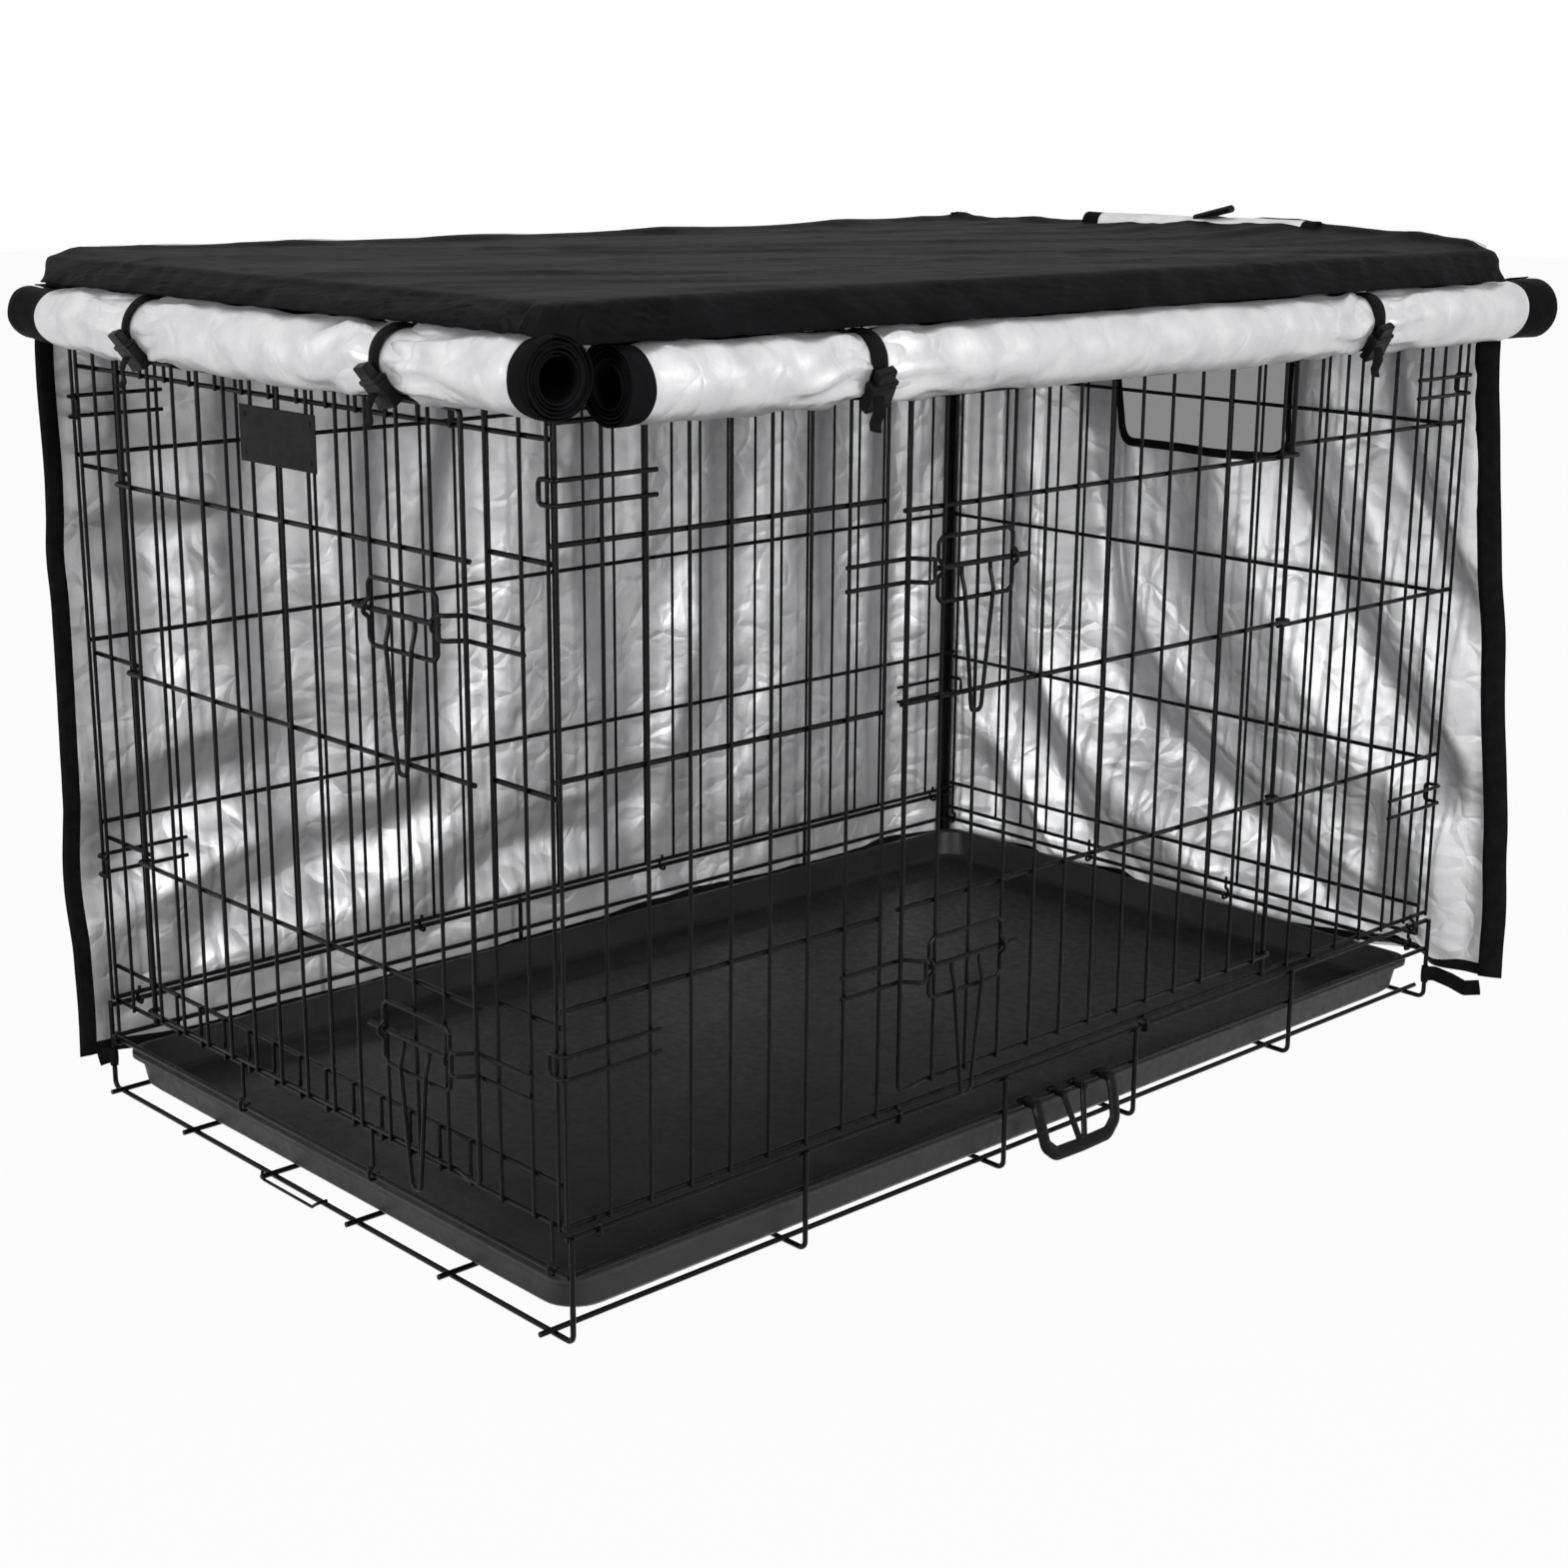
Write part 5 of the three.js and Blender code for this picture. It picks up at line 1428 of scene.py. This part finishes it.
def build_left_panel():
    """The long hanging panel, silver side in, held out a little by its folds."""
    height = TOP_Z - LEFT_SHEET_LOW
    y_from = -641
    y_to = BACK_SHEET_Y - 1
    across = stations((0, y_to - y_from, 6.5))
    along = stations((0, height, 6.5))

    def place(s, t):
        z = TOP_Z - t + 13 * smooth_step(-s, -120, 0) * t / height
        seam_lift = top_height(TOP_LEFT, y_from + s) - 0.7 * max(0.0, EAVE_Y - y_from - s)
        z += seam_lift * (1 - smooth_step(t, 0, 70))
        # The front edge hangs forward of the crate, with a slight wave.
        low_share = smooth_step(t, 0, 90)
        front_edge = -612 - 15 * low_share - 6 * t / height + 3 * ripple(0, t, 1, 120, 8)
        share = s / (y_to - y_from)
        y = front_edge + (y_to - front_edge) * share
        held = (0.3 + 0.7 * smooth_step(s, 0, 110)) * smooth_step(y_to - y, 2, 60)
        return Vector((LEFT_SHEET_X - held * long_side_folds(s, t, 31), y, z))

    bm = bmesh.new()
    cloth(bm, across, along, place)
    face_outward(bm, lambda centre: Vector((1, 0, 0)))
    panel = finish("cover_left_cloth", bm, "crate", [SILVER, OXFORD], ["cover_left_panel"], solid=False)
    thicken(panel, CLOTH, -1)
    bm = bmesh.new()
    edge = [place(0, t) * MM for t in along]
    tape(bm, edge, 10, 1.3, Vector((0, 1, 0)))
    hem = [place(s, height - HEM_UP) * MM for s in across]
    tape(bm, hem, HEM_HALF, HEM_THICK, Vector((0, 0, 1)))
    seam_top = TOP_Z + top_height(TOP_LEFT, TOP_BACK)
    seam = [place_mm(LEFT_SHEET_X + 1, y_to - 9, z) for z in stations((LEFT_SHEET_LOW, seam_top, 12))]
    tape(bm, seam, 11, 2.5, Vector((0, 1, 0)))
    binding = finish("cover_left_binding", bm, "crate", [BINDING])


def window_outline(x, z):
    """Whether a point lies inside the window, whose lower corners are rounded."""
    left_x, right_x, low = WINDOW["left"], WINDOW["right"], WINDOW["low"]
    if not (left_x < x < right_x and low < z < WINDOW["high"]):
        return False
    for side_x in (left_x + WINDOW_CORNER, right_x - WINDOW_CORNER):
        outside = x < side_x if side_x < 0 else x > side_x
        below = low + WINDOW_CORNER - z
        if outside and below > 0 and math.hypot(x - side_x, below) > WINDOW_CORNER:
            return False
    return True


def back_sheet_edge(t):
    """The back panel's free edge at a depth below the seam: it flares out past the crate as it falls."""
    flare = 57 * smooth_step(t, 85, BACK_SHEET_DROP)
    return 364 + 9 * smooth_step(t, 60, 100) + flare + 4 * ripple(0, t, 1, 95, 9)


def back_sheet_place(s, t):
    """A point of the back panel in the crate's millimetres, from its flat place."""
    z = TOP_Z - t + 12 * smooth_step(s, 560, BACK_SHEET_WIDTH) * t / BACK_SHEET_DROP
    x = LEFT_SHEET_X + (back_sheet_edge(t) - LEFT_SHEET_X) * s / BACK_SHEET_WIDTH
    z += top_height(x, TOP_BACK) * (1 - smooth_step(t, 0, 70))
    depth = short_side_folds(x, t, 47) * smooth_step(s, 2, 60)
    # The cloth lies flatter round the stiff window and toward its bound free edge, which stands out.
    near_window = ridge(x, 150) * ridge(z - 675, 110)
    depth *= 1 - 0.75 * near_window
    depth *= 1 - 0.85 * smooth_step(x, 335, 392)
    depth += 26 * smooth_step(x, 338, 402)
    return Vector((x, BACK_SHEET_Y + depth, z))


def on_back_sheet(x, z, lift):
    """A point lifted off the back panel, from its place across and its height."""
    t = TOP_Z - z
    s = BACK_SHEET_WIDTH * (x - LEFT_SHEET_X) / (back_sheet_edge(t) - LEFT_SHEET_X)
    return (back_sheet_place(s, t) + Vector((0, lift, 0))) * MM


def window_rim():
    """The window's two sides and lower edge, with round corners, from its upper left to its upper right."""
    low_z = WINDOW["low"] + WINDOW_CORNER
    left_x = WINDOW["left"] + WINDOW_CORNER
    right_x = WINDOW["right"] - WINDOW_CORNER
    rim = [(WINDOW["left"], z) for z in stations((WINDOW["high"], low_z, 12))]
    for corner_x, start in ((left_x, math.pi), (right_x, 1.5 * math.pi)):
        for k in range(1, 9):
            angle = start + math.pi / 2 * k / 8
            x = corner_x + WINDOW_CORNER * math.cos(angle)
            rim.append((x, low_z + WINDOW_CORNER * math.sin(angle)))
        if corner_x == left_x:
            rim += [(x, WINDOW["low"]) for x in stations((left_x, right_x, 12))[1:]]
    rim += [(WINDOW["right"], z) for z in stations((low_z, WINDOW["high"], 12))[1:]]
    return rim


def build_back_panel_cloth():
    """The short hanging panel, silver side in, with a hole for its window."""
    across = stations((0, BACK_SHEET_WIDTH, 6))
    along = stations((0, BACK_SHEET_DROP, 6))
    bm = bmesh.new()
    cloth(bm, across, along, back_sheet_place)
    cut = []
    for face in bm.faces:
        centre = face.calc_center_median() / MM
        if window_outline(centre.x, centre.z):
            cut.append(face)
    bmesh.ops.delete(bm, geom=cut, context="FACES")
    face_outward(bm, lambda centre: Vector((0, -1, 0)))
    panel = finish("cover_back_cloth", bm, "crate", [SILVER, OXFORD], ["cover_back_panel"], solid=False)
    thicken(panel, CLOTH, -1)
    build_back_binding(across, along)


def build_back_binding(across, along):
    """Binding round the window, down the free edge and along the hem of the back panel."""
    bm = bmesh.new()
    points = [on_back_sheet(x, z, -0.6) for x, z in window_rim()]
    tape(bm, points, 1.4, 5.5, Vector((0, 1, 0)))
    head_places = stations((WINDOW["left"] - 7, WINDOW["right"] + 7, 12))
    head = [on_back_sheet(x, WINDOW["high"], -0.6) for x in head_places]
    tape(bm, head, 1.4, 5.5, Vector((0, 1, 0)))
    side = [back_sheet_place(BACK_SHEET_WIDTH, t) * MM for t in along if t > 24]
    tape(bm, side, 14, 1.6, Vector((1, 0.4, 0)).normalized())
    hem = [back_sheet_place(s, BACK_SHEET_DROP - HEM_UP) * MM for s in across]
    tape(bm, hem, HEM_HALF, HEM_THICK, Vector((0, 0, 1)))
    return finish("cover_back_binding", bm, "crate", [BINDING])


def build_window_net():
    """The net behind the window, its edge hidden by the binding."""
    bm = bmesh.new()
    net_across = stations((WINDOW["left"] - 4, WINDOW["right"] + 4, 8))
    net_along = stations((WINDOW["low"] - 4, WINDOW["high"] + 4, 8))
    cloth(bm, net_across, net_along, lambda x, z: on_back_sheet(x, z, 1.8) / MM)
    net = finish("window_net", bm, "crate", [NET], ["cover_window_mesh"], solid=False)


def build_window_roll():
    """The window's flap rolled up on the back edge, held by a toggle."""
    middle_z = TOP_Z + WINDOW_ROLL_R - 2
    turns = 3
    core = 5
    length = math.pi * (WINDOW_ROLL_R + core) * turns
    across = stations((WINDOW_ROLL_SPAN[0], WINDOW_ROLL_SPAN[1], 6))
    along = [length * k / 96 for k in range(97)]

    def place(s, t):
        turned = turns * t / length
        angle = math.radians(200) - 2 * math.pi * turned
        radius = WINDOW_ROLL_R + (core - WINDOW_ROLL_R) * turned / turns
        radius += 0.9 * ripple(s, t, 30, 20, 61) - 2.2 * ridge(s - 25, 18)
        return Vector((s, HALF_LONG + radius * math.cos(angle), middle_z + radius * math.sin(angle)))

    bm = bmesh.new()
    flat = cloth(bm, across, along, place)
    for face in bm.faces:
        s = flat[face.verts[0]][0]
        if min(s - WINDOW_ROLL_SPAN[0], WINDOW_ROLL_SPAN[1] - s) < 18:
            face.material_index = 1
    axis_at = place_mm(0, HALF_LONG, middle_z)
    face_outward(bm, lambda centre: (centre - axis_at) * Vector((0, 1, 1)))
    roll = finish("window_flap_roll", bm, "crate", [SILVER, OXFORD, OXFORD], ["window_roll"], solid=False)
    thicken(roll, CLOTH, -1)
    bm = bmesh.new()
    top = middle_z + WINDOW_ROLL_R
    toggle = [place_mm(x, HALF_LONG - 2, top - 3 + 0.24 * x) for x in (0, 6, 24, 44, 50)]
    sweep(bm, toggle, 4.2 * MM, 5.5 * MM, 12)
    finish("window_toggle_bar", bm, "crate", [TRIM_PLASTIC], ["window_toggle"])


def build_corner_straps():
    """Hook and loop bands that tie the cover to two base legs."""
    back_tail = [Vector(step) for step in ((0, 0, 0), (6, 9, 0), (26, 12, -4), (44, 11, -8), (62, 13, -3))]
    front_tail = [Vector(step) for step in ((0, 0, 0), (-7, -2, 0), (-10, -12, -2))]
    for node, x, y, low, tail in (
        ("corner_strap_back", LEG_X, HALF_LONG, 20, back_tail),
        ("corner_strap_front", -LEG_X, -HALF_LONG, 25, front_tail),
    ):
        bm = bmesh.new()
        middle = Vector((x, y, low + 10))
        reach = FRAME / 2 + 1.1
        ring = []
        for k in range(17):
            angle = 2 * math.pi * k / 16
            ring.append((middle + Vector((math.cos(angle), math.sin(angle), 0)) * reach) * MM)
        tape(bm, ring, 10, 0.9, Vector((0, 0, 1)))
        path = bend_corners([(middle + step) * MM for step in tail], 6 * MM, 3)
        tape(bm, path, 9, 1.2, Vector((0, 0, 1)))
        finish(node + "_band", bm, "crate", [WEBBING], [node])


# ---- Floor and light ----

def seen_rays(tree, path):
    """1 for a ray that comes straight from the camera or by way of a reflection or a clear part."""
    total = path.outputs["Is Camera Ray"]
    for kind in ("Is Glossy Ray", "Is Transmission Ray"):
        inputs = {0: total, 1: path.outputs[kind]}
        total = add_node(tree, "ShaderNodeMath", {"operation": "MAXIMUM"}, inputs).outputs[0]
    return total


def build_floor():
    """A wide sheet of pale paper, which keeps the shadow and looks white where it is seen."""
    bm = bmesh.new()
    bmesh.ops.create_grid(bm, x_segments=1, y_segments=1, size=15)
    mesh = bpy.data.meshes.new("studio_floor")
    bm.to_mesh(mesh)
    bm.free()
    floor = bpy.data.objects.new("studio_floor", mesh)
    bpy.context.scene.collection.objects.link(floor)
    material, tree = start_material("white_paper_floor")
    paper = add_node(tree, "ShaderNodeBsdfDiffuse", None, {"Color": srgb("#c8c8c8")})
    white = add_node(tree, "ShaderNodeEmission", None, {"Color": srgb("#ffffff"), "Strength": 1.0})
    path = add_node(tree, "ShaderNodeLightPath")
    share = add_node(
        tree,
        "ShaderNodeMath",
        {"operation": "MULTIPLY"},
        {0: seen_rays(tree, path), 1: 0.96},
    )
    mix = add_node(
        tree,
        "ShaderNodeMixShader",
        None,
        {0: share.outputs[0], 1: paper.outputs[0], 2: white.outputs[0]},
    )
    add_node(tree, "ShaderNodeOutputMaterial", None, {"Surface": mix.outputs[0]})
    mesh.materials.append(material)


def light_world():
    """A white surround: bright where it is seen, dim as a light on the crate."""
    world = bpy.data.worlds.new("studio")
    world.use_nodes = True
    tree = world.node_tree
    tree.nodes.clear()
    path = add_node(tree, "ShaderNodeLightPath")
    ambient = add_node(tree, "ShaderNodeBackground", None, {"Color": srgb("#ffffff"), "Strength": 0.12})
    seen = add_node(tree, "ShaderNodeBackground", None, {"Color": srgb("#ffffff"), "Strength": 1.0})
    mix = add_node(
        tree,
        "ShaderNodeMixShader",
        None,
        {0: seen_rays(tree, path), 1: ambient.outputs[0], 2: seen.outputs[0]},
    )
    add_node(tree, "ShaderNodeOutputWorld", None, {"Surface": mix.outputs[0]})
    bpy.context.scene.world = world


def place_lamps():
    """Three soft square lamps: their places and sizes are in metres, their power in watts."""
    for name, at, size, power in (
        ("key", (4.6, -0.7, 1.9), 1.5, 150),
        ("front", (0.2, -4.9, 1.3), 1.4, 120),
        ("top", (0.6, -1.2, 3.4), 2.4, 30),
    ):
        light = bpy.data.lights.new(name, "AREA")
        light.size = size
        light.energy = power
        lamp = bpy.data.objects.new(name, light)
        lamp.location = at
        aim = Vector((0, 0, 0.4)) - Vector(at)
        lamp.rotation_euler = aim.to_track_quat("-Z", "Y").to_euler()
        bpy.context.scene.collection.objects.link(lamp)


# ---- Assembly ----

build_base()
build_side_panel("side_panel_right", right, SIDE_RAILS_RIGHT, True)
build_side_panel("side_panel_left", left, SIDE_RAILS_LEFT, False)
build_roof()
build_front_panel()
build_back_panel()
build_doorway(
    "front",
    front,
    cross_place(FRONT_DOOR_FROM),
    cross_place(FRONT_DOOR_TO),
    cross_place(FRONT_DOOR_TO + 1),
    FRONT_DOOR_RAILS,
    FRONT_LATCH_Z,
    "front_panel",
)
build_doorway(
    "side",
    right,
    long_place(SIDE_DOOR_TO),
    long_place(SIDE_DOOR_FROM),
    long_place(SIDE_DOOR_FROM - 1),
    SIDE_DOOR_RAILS,
    SIDE_LATCH_Z,
    "crate",
)
build_tray()
build_pan_stop()
build_carry_handle()
build_name_plate()
build_cover_top()
build_rolls()
build_left_panel()
build_back_panel_cloth()
build_window_net()
build_window_roll()
build_corner_straps()
build_floor()
light_world()
place_lamps()

bpy.context.scene.view_settings.view_transform = "Standard"
